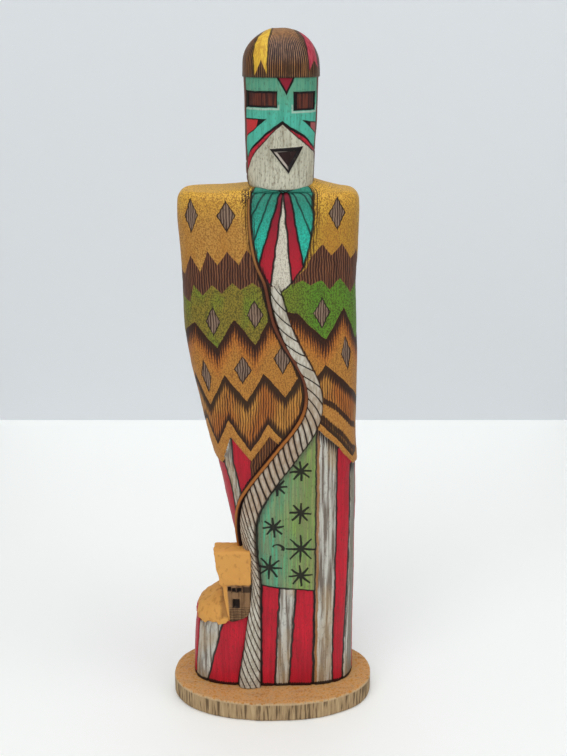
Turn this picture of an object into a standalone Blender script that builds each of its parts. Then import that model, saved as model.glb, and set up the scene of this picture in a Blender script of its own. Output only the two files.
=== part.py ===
"""Kachina doll: one carved and painted root, standing on an oval slab of wood.

Metres, +Z up, +Y to the back. The origin is the middle of the slab's underside.
The carving keeps the proportions of a drawing in millimetres, DRAWN_HEIGHT tall and DRAWN_WIDTH wide,
so its numbers are millimetres on a doll of the real size and shares of its height or width on any other.
"""

import math

import bmesh
import bpy
from mathutils import Vector

for leftover in list(bpy.data.objects):
    bpy.data.objects.remove(leftover, do_unlink=True)

# The slab
BASE_WIDTH = 0.0936
BASE_DEPTH = 0.0552
BASE_THICKNESS = 0.0095
BASE_EDGE_ROUNDING = 0.0009
BASE_EDGE_TURN = 0.3
BASE_ROUNDNESS = 2.2

# The figure on it
DOLL_HEIGHT = 0.300
ROBE_WIDTH = 0.0758
ROBE_FRONT_DEPTH = 0.0213
ROBE_BACK_DEPTH = 0.0140
ROBE_WIDEST_AT = 0.0060
ROBE_SQUARENESS = 3.2
SHOULDER_ROUNDING = 0.0045
COLLAR_LEFT = -8.6
COLLAR_RIGHT = 16.8
COLLAR_FRONT_DEPTH = 0.0156
COLLAR_BACK_DEPTH = 0.0125
FRONT_SHOULDER_SHARE = 0.45
HEAD_FRONT_DEPTH = 0.0168
HEAD_BACK_DEPTH = 0.0158
HEAD_MIDDLE_DEPTH = 0.0024
HEAD_SQUARENESS = 2.6
NECK_DRAWN_IN = 0.0030
CAP_OVERHANG = 0.0006
CAP_SPREAD = 0.94
CAP_FLATNESS = 0.985
CAP_ROUNDNESS = 2.4
ROCK_FRONT_DEPTH = 0.0139
ROCK_BACK_DEPTH = 0.0130
ROCK_WIDEST_AT = -0.0010
ROCK_ROUNDING = 0.0100
ROCK_SQUARENESS = 2.6
GLUE_GAP = 0.0003

# How far the carving is cut in or stands proud
ROBE_STEP = 0.0010
BIB_RAY_DEPTH = 0.0005
EYE_DEPTH = 0.0009
MOUTH_HEIGHT = 0.0008
PIPING_WIDTH = 0.0022
PIPING_HEIGHT = 0.0011
PIPING_ROOT = 0.0010
ROPE_HEIGHT = 0.0016
ROPE_ROOT = 0.0011
TOWER_DEPTH = 0.0100
TOWER_SET_BACK = 0.0003
ROOF_OVERHANG = 0.0007
WINDOW_DEPTH = 0.0015

# The drawing that the carving follows
DRAWN_FOOT = 9.8
DRAWN_HEIGHT = 290.2
DRAWN_WIDTH = 75.8
ROBE_TOP = 238.0
COLLAR_TOP = 240.4
CHIN = 239.4
BROW = 282.0
HEAD_INTO_CAP = 1.5
NECK_ROOT = 4.0
CAP_RIM_TOP = 284.0
CAP_TOP = 300.0
ROCK_RIGHT = -6
ROCK_TURNS_AT = 45.0
BESIDE_THE_DOLL = 60
BELOW_THE_FOOT = 10

# The robe's left and right outlines, from the foot up: height, then distance from the middle
ROBE_LEFT = [
    (10, -39), (24, -38.4), (35, -37.6), (40, -36.8), (43.5, -35), (47, -29), (51, -22), (56, -17.4),
    (68, -16.6), (77, -16.9), (92, -19.9), (102, -22), (112, -23.8), (122, -26), (141, -30.2),
    (159, -34.2), (177, -37), (186, -37.8), (200, -37.7), (212, -38.1), (225, -38.9), (238, -38.9),
]
ROBE_RIGHT = [
    (10, 39.4), (24, 39.2), (77, 39.2), (97, 39.2), (117, 38.8), (131, 37.8), (159, 37.6),
    (186, 36.6), (200, 36.3), (225, 36.9), (238, 36.5),
]
HEAD_LEFT = [(239, -9.1), (243, -9.9), (250, -10.1), (262, -10.4), (283, -10.7)]
HEAD_RIGHT = [(239, 17.5), (248, 17.9), (256, 18.2), (264, 18.7), (283, 19.2)]
ROCK_LEFT = [(40, -36.2), (46, -35.4), (49.5, -33.2), (52, -30), (54.2, -26), (55.6, -21)]

# Edges on the front, each as distance from the middle and height
BIB_EDGE = [
    (-7.6, 243), (-8, 230), (-7.2, 220), (-5.4, 211), (-2.9, 203.4), (4.4, 198.2),
    (9, 202.5), (13.5, 208.6), (16.3, 218), (17.4, 228), (17, 243),
]
LEFT_HEM = [(-BESIDE_THE_DOLL, 121), (-21.5, 120.5), (-17.8, 134), (-8.8, 123.5), (-0.8, 135), (4, 131)]
UNDER_THE_ROPE = [(11, 134.5), (17.5, 140)]
RIGHT_HEM = [(19.5, 139.5), (27, 131.5), (36, 119.5), (39, 116.5), (BESIDE_THE_DOLL, 116)]
BACK_HEM = [(-BESIDE_THE_DOLL, 121), (BESIDE_THE_DOLL, 116)]
PIPING_PATH = [
    (-8.5, 236), (-8.7, 230), (-7.9, 219), (-5.9, 209.5), (-2.6, 202), (-1, 194.5), (1.2, 185),
    (5.6, 175.5), (10.6, 167.5), (13.9, 160), (14.9, 152.5), (13.6, 145.5), (9.7, 138.2),
    (3.6, 130.2), (-3.6, 120.6), (-9.6, 112), (-13.8, 104), (-15.4, 95.5), (-15, 85), (-13.1, 75),
    (-10.9, 67), (-9.6, 62.6),
]
# The bib's carved rays run from under the chin: where each one ends
RAYS_FROM = (4.7, 243)
RAY_ENDS = [(-5.4, 219), (-4.6, 209.4), (0.2, 201.4), (8.6, 202.2), (14, 209.6), (16.6, 221)]
RAY_WIDTH = 0.8
# The rope: distance from the middle, height and width
ROPE_PATH = [
    (1.6, 200.8, 3.4), (2.6, 195, 5), (4.4, 188, 5.2), (7.2, 180, 5.4), (10.7, 172, 5.8),
    (14.4, 165, 6), (17.4, 158, 6.4), (18.6, 151, 6.8), (17.9, 144.5, 7.4), (14.9, 137.5, 8),
    (10.2, 130.8, 8.6), (4.6, 123.2, 9), (-0.7, 116.2, 9.2), (-5.3, 109, 9.2), (-8.8, 101.6, 8.6),
    (-10.6, 93, 7.6), (-10.4, 84, 6.8), (-9.4, 76, 5.6), (-7.7, 68, 4.2), (-7.2, 61, 4.2),
    (-7.8, 52, 5), (-8.6, 40, 6.8), (-9.3, 28, 8.2), (-10.2, 18, 9.6), (-10.6, DRAWN_FOOT, 10.4),
]
EYES = [((-8.8, 271.0), (2.6, 276.8)), ((9.4, 269.8), (18.4, 276.6))]
MOUTH = [(0.6, 255.2), (12.4, 255.9), (7.2, 246.6)]
# The tower: left, bottom, right and top of each block, and how much its left side leans in downwards
TOWER_ROOF = (-26.4, 63.4, -9.6, 80.2)
TOWER_WALL = (-23.4, 44.4, -9.8, 64.4)
TOWER_LEAN = 2.6
TOWER_EDGE_ROUNDING = 0.8
WINDOWS = [(-19.9, 60.6, -18.8, 62.2), (-18, 60, -16.7, 61.4), (-15.8, 60, -14.2, 61.6)]
DOOR = (-17.6, 52, -14.8, 56)

# How finely the curved parts are faceted
ROBE_SIDES = 60
ROBE_STEPS = 28
HEAD_SIDES = 44
HEAD_STEPS = 5
CAP_STEPS = 8
ROCK_SIDES = 26
ROPE_SIDES = 10
PIPING_SIDES = 8
STEPS_BETWEEN_POINTS = 2
BASE_SIDES = 72
ROCK_STEPS = 6
CUTTER_REACH = 0.060
CUT_OVERLAP = 0.001
MOUTH_ROOT = 0.004
EYE_CUT_ROOT = 0.002

BARE_WOOD = (0.56, 0.33, 0.13)
BARE_WOOD_ROUGHNESS = 0.62
STAINED_WOOD = (0.51, 0.29, 0.07)
STAINED_WOOD_ROUGHNESS = 0.55

figure_foot = BASE_THICKNESS + GLUE_GAP
tall = (DOLL_HEIGHT - figure_foot) / DRAWN_HEIGHT
wide = ROBE_WIDTH / DRAWN_WIDTH

doll_parts = bpy.data.collections.new("kachina_doll")
cutters = bpy.data.collections.new("cutters")
bpy.context.scene.collection.children.link(doll_parts)
bpy.context.scene.collection.children.link(cutters)


def up(height):
    """A height on the drawing as a height on the doll."""
    return figure_foot + (height - DRAWN_FOOT) * tall


def curved(points, along):
    """The value at one place on a smooth curve through points of (place, value)."""
    last = len(points) - 1
    start = max(i for i in range(last) if i == 0 or points[i][0] <= along)
    (a, before), (b, after) = points[start], points[start + 1]
    left = points[max(start - 1, 0)]
    right = points[min(start + 2, last)]
    slope_in = (after - left[1]) / (b - left[0])
    slope_out = (right[1] - before) / (right[0] - a)
    t = min(max((along - a) / (b - a), 0), 1)
    span = b - a
    return (
        before * (1 + 2 * t) * (1 - t) ** 2
        + after * t * t * (3 - 2 * t)
        + span * slope_in * t * (1 - t) ** 2
        - span * slope_out * t * t * (1 - t)
    )


def smooth_path(points):
    """More points along a smooth curve through the given ones, which may have any number of values."""
    places = [0.0]
    for first, second in zip(points, points[1:]):
        places.append(places[-1] + math.dist(first[:2], second[:2]))
    tracks = [list(zip(places, values)) for values in zip(*points)]
    finer = []
    for a, b in zip(places, places[1:]):
        for step in range(STEPS_BETWEEN_POINTS):
            finer.append(a + (b - a) * step / STEPS_BETWEEN_POINTS)
    finer.append(places[-1])
    return [tuple(curved(track, place) for track in tracks) for place in finer]


def ring(left, right, front, back, widest, squareness, height, sides):
    """A level outline between four edges, with a rounded-square form, widest at one depth."""
    middle = (left + right) / 2
    points = []
    for side in range(sides):
        angle = 2 * math.pi * side / sides
        across, along = math.cos(angle), math.sin(angle)
        reach = (abs(across) ** squareness + abs(along) ** squareness) ** (-1 / squareness)
        deep = back - widest if along > 0 else widest - front
        points.append(
            (middle + reach * across * (right - left) / 2, widest + reach * along * deep, height)
        )
    return points


def new_solid(name, mesh, collection):
    """An object from a bmesh, in a collection. What is in the cutters' collection only shapes others."""
    bmesh.ops.recalc_face_normals(mesh, faces=mesh.faces)
    data = bpy.data.meshes.new(name)
    mesh.to_mesh(data)
    mesh.free()
    made = bpy.data.objects.new(name, data)
    collection.objects.link(made)
    if collection is cutters:
        made.hide_render = True
        made.display_type = "WIRE"
    return made


def loft(name, rings, collection=cutters):
    """One closed solid through rings of equally many points."""
    mesh = bmesh.new()
    loops = [[mesh.verts.new(point) for point in points] for points in rings]
    for low, high in zip(loops, loops[1:]):
        for i in range(len(low)):
            j = (i + 1) % len(low)
            mesh.faces.new((low[i], low[j], high[j], high[i]))
    mesh.faces.new(loops[0])
    mesh.faces.new(loops[-1])
    return new_solid(name, mesh, collection)


def slab(name, outline, front, back):
    """An outline on the drawing's front, given its thickness from one depth to another."""
    mesh = bmesh.new()
    face = mesh.faces.new([mesh.verts.new((x * wide, front, up(z))) for x, z in outline])
    moved = bmesh.ops.extrude_face_region(mesh, geom=[face])
    pushed = [part for part in moved["geom"] if isinstance(part, bmesh.types.BMVert)]
    bmesh.ops.translate(mesh, verts=pushed, vec=(0, back - front, 0))
    return new_solid(name, mesh, cutters)


def combine(body, other, operation):
    """Joins another solid to a body, or cuts it out of the body."""
    step = body.modifiers.new(f"{operation.lower()} {other.name}", "BOOLEAN")
    step.operation = operation
    step.object = other
    step.solver = "EXACT"


def finish(thing, name, colour, roughness):
    """The thing's own painted or bare wood."""
    material = bpy.data.materials.new(name)
    material.use_nodes = True
    shader = material.node_tree.nodes["Principled BSDF"]
    shader.inputs["Base Color"].default_value = (*colour, 1)
    shader.inputs["Roughness"].default_value = roughness
    shader.inputs["Metallic"].default_value = 0
    thing.data.materials.append(material)


def make_base():
    """The oval slab, with its edges eased."""
    rings = []
    ease = BASE_EDGE_ROUNDING
    profile = [
        (0, ease), (ease, 0), (BASE_THICKNESS - ease, 0),
        (BASE_THICKNESS - ease * BASE_EDGE_TURN, ease * BASE_EDGE_TURN), (BASE_THICKNESS, ease),
    ]
    for height, inset in profile:
        half_width = BASE_WIDTH / 2 - inset
        half_depth = BASE_DEPTH / 2 - inset
        rings.append(ring(
            -half_width, half_width, -half_depth, half_depth, 0, BASE_ROUNDNESS, height, BASE_SIDES,
        ))
    base = loft("base", rings, doll_parts)
    finish(base, "bare wood", BARE_WOOD, BARE_WOOD_ROUGHNESS)


def robe_ring(height, inset, shrink=0.0):
    """The robe's outline at one height of the drawing, drawn in by an inset, and more so at a shoulder."""
    draw_in = inset + shrink
    return ring(
        curved(ROBE_LEFT, height) * wide + draw_in,
        curved(ROBE_RIGHT, height) * wide - draw_in,
        ROBE_WIDEST_AT - ROBE_FRONT_DEPTH + inset + shrink * FRONT_SHOULDER_SHARE,
        ROBE_WIDEST_AT + ROBE_BACK_DEPTH - draw_in,
        ROBE_WIDEST_AT, ROBE_SQUARENESS, up(height), ROBE_SIDES,
    )


def blend(start, end, share):
    """A value part of the way from one to another."""
    return start + (end - start) * share


def make_robe(name, inset, collection=cutters):
    """The wrapped body from the foot to the collar. With an inset, the level that lower carving goes to."""
    rounding = SHOULDER_ROUNDING / tall
    straight = ROBE_TOP - rounding
    rings = []
    for step in range(ROBE_STEPS + 1):
        rings.append(robe_ring(blend(DRAWN_FOOT, straight, step / ROBE_STEPS), inset))
    for turn in (30, 60):
        height = straight + rounding * math.sin(math.radians(turn))
        shrink = SHOULDER_ROUNDING * (1 - math.cos(math.radians(turn)))
        rings.append(robe_ring(height, inset, shrink))
    shoulder_left = curved(ROBE_LEFT, ROBE_TOP) * wide + SHOULDER_ROUNDING
    shoulder_right = curved(ROBE_RIGHT, ROBE_TOP) * wide - SHOULDER_ROUNDING
    shoulder_front = ROBE_FRONT_DEPTH - SHOULDER_ROUNDING * FRONT_SHOULDER_SHARE - ROBE_WIDEST_AT
    shoulder_back = ROBE_WIDEST_AT + ROBE_BACK_DEPTH - SHOULDER_ROUNDING
    for share, rise in ((0.0, 0.0), (0.5, 0.4), (0.8, 0.7), (1.0, 1.0)):
        rings.append(ring(
            blend(shoulder_left, COLLAR_LEFT * wide, share) + inset,
            blend(shoulder_right, COLLAR_RIGHT * wide, share) - inset,
            inset - blend(shoulder_front, COLLAR_FRONT_DEPTH - HEAD_MIDDLE_DEPTH, share),
            blend(shoulder_back, COLLAR_BACK_DEPTH + HEAD_MIDDLE_DEPTH, share) - inset,
            blend(ROBE_WIDEST_AT, HEAD_MIDDLE_DEPTH, share),
            ROBE_SQUARENESS, up(blend(ROBE_TOP, COLLAR_TOP, rise)) + inset * rise, ROBE_SIDES,
        ))
    return loft(name, rings, collection)


def robe_front(x, height):
    """The depth of the robe's front at one place of the drawing, in metres."""
    left, right = curved(ROBE_LEFT, height), curved(ROBE_RIGHT, height)
    share = min(abs(x - (left + right) / 2) / ((right - left) / 2), 0.98)
    bulge = (1 - share ** ROBE_SQUARENESS) ** (1 / ROBE_SQUARENESS)
    return ROBE_WIDEST_AT - ROBE_FRONT_DEPTH * bulge


def band(name, path, widths, proud, sides, sink):
    """A raised cord or roll that lies on the robe's front along a path."""
    rings = []
    places = [
        Vector((x * wide, robe_front(x, z) + sink, up(z))) for x, z in path
    ]
    for i, ((x, z), width) in enumerate(zip(path, widths)):
        ahead = (places[min(i + 1, len(path) - 1)] - places[max(i - 1, 0)]).normalized()
        if z == DRAWN_FOOT:
            ahead = Vector((0, 0, -1))
        slope = (robe_front(x + 0.5, z) - robe_front(x - 0.5, z)) / wide
        outward = Vector((slope, -1, 0))
        outward = (outward - outward.dot(ahead) * ahead).normalized()
        across = ahead.cross(outward)
        rings.append([
            places[i]
            + across * (width / 2) * math.cos(2 * math.pi * side / sides)
            + outward * (proud + sink) * math.sin(2 * math.pi * side / sides)
            for side in range(sides)
        ])
    return loft(name, rings)


def make_piping():
    """The rolled edge of the blanket."""
    path = smooth_path(PIPING_PATH)
    return band("piping", path, [PIPING_WIDTH] * len(path), PIPING_HEIGHT, PIPING_SIDES, PIPING_ROOT)


def make_rope():
    """The rope sash, from under the bib to the foot."""
    path = smooth_path(ROPE_PATH)
    widths = [width * wide for _, _, width in path]
    return band("rope_sash", [(x, z) for x, z, _ in path], widths, ROPE_HEIGHT, ROPE_SIDES, ROPE_ROOT)


def head_ring(height, grow, dome=1.0):
    """The head's outline at one height of the drawing, grown all round and drawn in by the dome's share."""
    left = curved(HEAD_LEFT, height) * wide - grow
    right = curved(HEAD_RIGHT, height) * wide + grow
    middle, half = (left + right) / 2, (right - left) / 2 * dome
    return ring(
        middle - half, middle + half,
        HEAD_MIDDLE_DEPTH - (HEAD_FRONT_DEPTH + grow) * dome,
        HEAD_MIDDLE_DEPTH + (HEAD_BACK_DEPTH + grow) * dome,
        HEAD_MIDDLE_DEPTH, HEAD_SQUARENESS, up(height), HEAD_SIDES,
    )


def make_head(name, inset):
    """The mask and the back of the head, from a neck inside the robe into the cap."""
    top = BROW + HEAD_INTO_CAP
    heights = [blend(CHIN, top, step / HEAD_STEPS) for step in range(HEAD_STEPS + 1)]
    neck = head_ring(CHIN, -inset - NECK_DRAWN_IN)
    rings = [[(x, y, up(CHIN - NECK_ROOT)) for x, y, _ in neck]]
    return loft(name, rings + [head_ring(height, -inset) for height in heights])


def make_cap():
    """The domed cap of hair, which overhangs the brow."""
    rings = [head_ring(BROW, CAP_OVERHANG)]
    dome = CAP_TOP - CAP_RIM_TOP
    full_rise = math.sin(math.pi / 2 * CAP_SPREAD)
    for step in range(CAP_STEPS + 1):
        rise = math.sin(math.pi / 2 * CAP_SPREAD * step / CAP_STEPS)
        share = math.sqrt(1 - (rise * CAP_FLATNESS) ** CAP_ROUNDNESS)
        height = CAP_RIM_TOP + dome * rise / full_rise
        points = head_ring(BROW, CAP_OVERHANG, share)
        rings.append([(x, y, up(height)) for x, y, _ in points])
    return loft("cap", rings)


def make_mouth():
    """The triangular mouth, standing a little proud of the mask."""
    front = HEAD_MIDDLE_DEPTH - HEAD_FRONT_DEPTH
    return slab("mouth", MOUTH, front - MOUTH_HEIGHT, front + MOUTH_ROOT)


def make_rock():
    """The mesa, a rounded shelf of rock at the left foot."""
    rings = []
    foot, top = ROCK_LEFT[0][0], ROCK_LEFT[-1][0]
    for step in range(ROCK_STEPS + 1):
        height = blend(foot, top, step / ROCK_STEPS)
        rise = max((height - ROCK_TURNS_AT) / (top + 1 - ROCK_TURNS_AT), 0)
        draw_in = ROCK_ROUNDING * (1 - math.sqrt(1 - rise ** 2))
        rings.append(ring(
            curved(ROCK_LEFT, height) * wide, ROCK_RIGHT * wide,
            ROCK_WIDEST_AT - ROCK_FRONT_DEPTH + draw_in, ROCK_WIDEST_AT + ROCK_BACK_DEPTH - draw_in,
            ROCK_WIDEST_AT, ROCK_SQUARENESS, up(height), ROCK_SIDES,
        ))
    return loft("mesa", rings)


def tower_block(name, box, front, lean):
    """One storey of the pueblo tower, its left side leaning and its edges eased."""
    left, bottom, right, top = box
    outline = [(left + lean, bottom), (right, bottom), (right, top), (left, top)]
    block = slab(name, outline, front, front + TOWER_DEPTH)
    ease = block.modifiers.new("eased edges", "BEVEL")
    ease.width = TOWER_EDGE_ROUNDING * wide
    ease.segments = 2
    return block


def make_openings():
    """The tower's row of windows and its door, as cutters."""
    made = []
    wall_front = tower_front()
    reach = TOWER_EDGE_ROUNDING * wide + ROOF_OVERHANG
    for number, (left, bottom, right, top) in enumerate(WINDOWS + [DOOR]):
        outline = [(left, bottom), (right, bottom), (right, top), (left, top)]
        made.append(slab(f"opening_{number + 1}", outline, wall_front - reach, wall_front + WINDOW_DEPTH))
    return made


def tower_front():
    """The depth of the tower's lower wall, a little behind the foremost line of the robe."""
    return ROBE_WIDEST_AT - ROBE_FRONT_DEPTH + TOWER_SET_BACK


def make_ray(name, end):
    """A groove that widens from under the chin to the bib's edge."""
    start = Vector(RAYS_FROM)
    along = (Vector(end) - start).normalized()
    aside = Vector((-along.y, along.x)) * RAY_WIDTH / 2
    outline = [start, Vector(end) - aside, Vector(end) + aside]
    return slab(name, [tuple(point) for point in outline], -CUTTER_REACH, ROBE_WIDEST_AT)


def make_figure():
    """The whole carving as one solid."""
    figure = make_robe("figure", 0, doll_parts)
    level = make_robe("robe_level", ROBE_STEP)

    bib = slab("bib_cut", BIB_EDGE, -CUTTER_REACH, ROBE_WIDEST_AT)
    combine(bib, level, "DIFFERENCE")
    combine(figure, bib, "DIFFERENCE")
    ray_level = make_robe("ray_level", ROBE_STEP + BIB_RAY_DEPTH)
    for number, end in enumerate(RAY_ENDS):
        ray = make_ray(f"ray_{number + 1}", end)
        combine(ray, ray_level, "DIFFERENCE")
        combine(figure, ray, "DIFFERENCE")

    below = DRAWN_FOOT - BELOW_THE_FOOT
    corners = [(BESIDE_THE_DOLL, below), (-BESIDE_THE_DOLL, below)]
    front_outline = LEFT_HEM + UNDER_THE_ROPE + RIGHT_HEM + corners
    skirt = slab("skirt_cut", front_outline, -CUTTER_REACH, ROBE_WIDEST_AT)
    skirt_back = slab("skirt_cut_back", BACK_HEM + corners, ROBE_WIDEST_AT - CUT_OVERLAP, CUTTER_REACH)
    combine(skirt, skirt_back, "UNION")
    combine(skirt, level, "DIFFERENCE")
    combine(figure, skirt, "DIFFERENCE")

    head = make_head("head", 0)
    head_level = make_head("head_level", EYE_DEPTH)
    for side, ((left, bottom), (right, top)) in zip(("left", "right"), EYES):
        outline = [(left, bottom), (right, bottom), (right, top), (left, top)]
        eye = slab(f"{side}_eye_cut", outline, -CUTTER_REACH, HEAD_MIDDLE_DEPTH - EYE_CUT_ROOT)
        combine(eye, head_level, "DIFFERENCE")
        combine(head, eye, "DIFFERENCE")

    roof = tower_block("tower_roof", TOWER_ROOF, tower_front() - ROOF_OVERHANG, TOWER_LEAN)
    wall = tower_block("tower_wall", TOWER_WALL, tower_front(), TOWER_LEAN)
    for part in (head, make_cap(), make_mouth(), make_rock(), roof, wall, make_piping(), make_rope()):
        combine(figure, part, "UNION")
    for opening in make_openings():
        combine(figure, opening, "DIFFERENCE")
    finish(figure, "painted wood", STAINED_WOOD, STAINED_WOOD_ROUGHNESS)


make_base()
make_figure()
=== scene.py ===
import math
from functools import reduce

import bmesh
import bpy
import numpy as np
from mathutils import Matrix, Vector, noise


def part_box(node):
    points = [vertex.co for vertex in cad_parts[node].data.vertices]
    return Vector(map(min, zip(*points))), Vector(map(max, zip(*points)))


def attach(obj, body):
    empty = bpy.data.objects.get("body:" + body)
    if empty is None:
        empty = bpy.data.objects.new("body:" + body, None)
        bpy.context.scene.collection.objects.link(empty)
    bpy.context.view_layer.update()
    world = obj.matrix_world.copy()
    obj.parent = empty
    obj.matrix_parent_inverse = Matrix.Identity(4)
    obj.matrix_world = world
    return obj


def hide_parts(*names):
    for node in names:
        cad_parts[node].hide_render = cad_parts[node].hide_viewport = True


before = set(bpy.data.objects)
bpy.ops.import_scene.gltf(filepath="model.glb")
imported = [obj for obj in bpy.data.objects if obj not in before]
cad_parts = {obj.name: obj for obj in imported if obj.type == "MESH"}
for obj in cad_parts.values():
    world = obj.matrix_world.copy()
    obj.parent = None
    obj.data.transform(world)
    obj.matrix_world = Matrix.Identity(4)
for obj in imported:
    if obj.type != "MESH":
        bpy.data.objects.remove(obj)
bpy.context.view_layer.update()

# The slab: an oval of bare wood, sawn across a plank and left rough on its side, with its top
# edge eased. The doll stands on its middle. Its top is rubbed with a warm stain.
SLAB_ROUNDNESS = 2.2
SLAB_COLUMNS = 300
SLAB_SIDE_ROWS = 14
SAW_WOBBLE = (9, 0.35, 1)
SIDE_FIBRE_RIDGES = (1.1, 0.22, 5)
slab_low, slab_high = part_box("base")
slab_width = (slab_high.x - slab_low.x) * 1000
slab_depth = (slab_high.y - slab_low.y) * 1000
slab_thickness = (slab_high.z - slab_low.z) * 1000


def paint(red, green, blue):
    """A colour as a painter would match it on a screen, given from 0 to 255."""
    levels = [level / 255 for level in (red, green, blue)]
    return tuple(((v + 0.055) / 1.055) ** 2.4 if v > 0.04 else v / 12.92 for v in levels) + (1.0,)


class Varying:
    """A number that changes over a surface, held by a material's socket. Each sum adds a Math node."""

    def __init__(self, socket):
        self.socket = socket
        self.tree = socket.id_data

    def __add__(self, other):
        return worked("ADD", self, other)

    def __radd__(self, other):
        return worked("ADD", self, other)

    def __sub__(self, other):
        return worked("SUBTRACT", self, other)

    def __rsub__(self, other):
        return worked("SUBTRACT", other, self)

    def __mul__(self, other):
        return worked("MULTIPLY", self, other)

    def __rmul__(self, other):
        return worked("MULTIPLY", self, other)

    def __truediv__(self, other):
        return worked("DIVIDE", self, other)

    def __neg__(self):
        return worked("MULTIPLY", self, -1)


ON_A_MESH = {
    "ADD": np.add, "SUBTRACT": np.subtract, "MULTIPLY": np.multiply, "DIVIDE": np.divide,
    "MINIMUM": np.minimum, "MAXIMUM": np.maximum, "ABSOLUTE": np.abs, "SQRT": np.sqrt,
    "ARCTAN2": np.arctan2, "PINGPONG": lambda value, reach: reach - abs(value % (2 * reach) - reach),
}


def feed(place, value):
    """Gives a socket a value, which may vary."""
    if isinstance(value, Varying):
        value = value.socket
    if isinstance(value, bpy.types.NodeSocket):
        place.id_data.links.new(value, place)
    else:
        place.default_value = value


def worked(kind, *values):
    """One sum, as a Math node if a value is in a material, or at once if all are a mesh's points."""
    varying = [value for value in values if isinstance(value, Varying)]
    if not varying:
        return ON_A_MESH[kind](*values)
    node = varying[0].tree.nodes.new("ShaderNodeMath")
    node.operation = kind
    for place, value in zip(node.inputs, values):
        feed(place, value)
    return Varying(node.outputs[0])


def least(*values):
    return reduce(lambda a, b: worked("MINIMUM", a, b), values)


def most(*values):
    return reduce(lambda a, b: worked("MAXIMUM", a, b), values)


def size_of(value):
    return worked("ABSOLUTE", value)


def covered(inside, softness=0.2):
    """1 inside a shape and 0 outside it, with a soft edge that is so wide."""
    if not isinstance(inside, Varying):
        return np.clip(inside / softness + 0.5, 0, 1)
    node = inside.tree.nodes.new("ShaderNodeMath")
    node.operation = "MULTIPLY_ADD"
    node.use_clamp = True
    feed(node.inputs[0], inside)
    node.inputs[1].default_value = 1 / softness
    node.inputs[2].default_value = 0.5
    return Varying(node.outputs[0])


def past(value, level, sharpness):
    """1 where a random value is past a level and 0 where it is short of it, with a soft edge."""
    return covered((value - level) * sharpness, 1)


def instead(value, other, share):
    """A value replaced by another one, as strongly as share says."""
    return value * (1 - share) + share * other


def over(under, colour, share):
    """A colour laid over another one, as strongly as share says."""
    node = share.tree.nodes.new("ShaderNodeMix")
    node.data_type = "RGBA"
    feed(node.inputs[0], share)
    feed(node.inputs[6], under)
    feed(node.inputs[7], colour)
    return node.outputs[2]


def mottle(place, scale, stretch=(1, 1, 1), detail=2.0):
    """Soft random patches, from about 0 to 1, with that many to a metre."""
    tree = place.id_data
    node = tree.nodes.new("ShaderNodeMapping")
    node.inputs["Scale"].default_value = [scale * share for share in stretch]
    feed(node.inputs["Vector"], place)
    patches = tree.nodes.new("ShaderNodeTexNoise")
    patches.inputs["Scale"].default_value = 1
    patches.inputs["Detail"].default_value = detail
    feed(patches.inputs["Vector"], node.outputs[0])
    return Varying(patches.outputs[0])


def unsteady(value, place, scale, amount, stretch=(1, 1, 1)):
    """A value that wavers by an amount, as drawn by hand, with so many wavers to a metre."""
    return value + (mottle(place, scale, stretch) - 0.5) * amount


def new_group(name, takes, gives):
    """A shader node group with its named sockets, and its inputs as varying values."""
    tree = bpy.data.node_groups.new(name, "ShaderNodeTree")
    for label, kind in takes:
        tree.interface.new_socket(label, in_out="INPUT", socket_type="NodeSocket" + kind)
    for label in gives:
        tree.interface.new_socket(label, in_out="OUTPUT", socket_type="NodeSocketFloat")
    source = tree.nodes.new("NodeGroupInput")
    return tree, tree.nodes.new("NodeGroupOutput"), source.outputs


def placed(group, tree, **values):
    """A node group placed in a material, with its own values."""
    node = tree.nodes.new("ShaderNodeGroup")
    node.node_tree = group
    for label, value in values.items():
        feed(node.inputs[label], value)
    return {socket.name: Varying(socket) for socket in node.outputs}


def make_wood_grain():
    """Wood under everything: long upright fibres, broad soft patches and small dark pores."""
    gives = ["Fibres", "Patches", "Pores"]
    tree, result, source = new_group("wood grain", [("Place", "Vector")], gives)
    place = source["Place"]
    feed(result.inputs["Fibres"], mottle(place, 1100, (1, 1, 0.06), 3))
    feed(result.inputs["Patches"], mottle(place, 70, (1, 1, 0.5), 3))
    specks = mottle(place, 1500, (1, 1, 0.45), 1)
    feed(result.inputs["Pores"], covered((specks - 0.64) * 10, 1))
    return tree


wood_grain = make_wood_grain()


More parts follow.
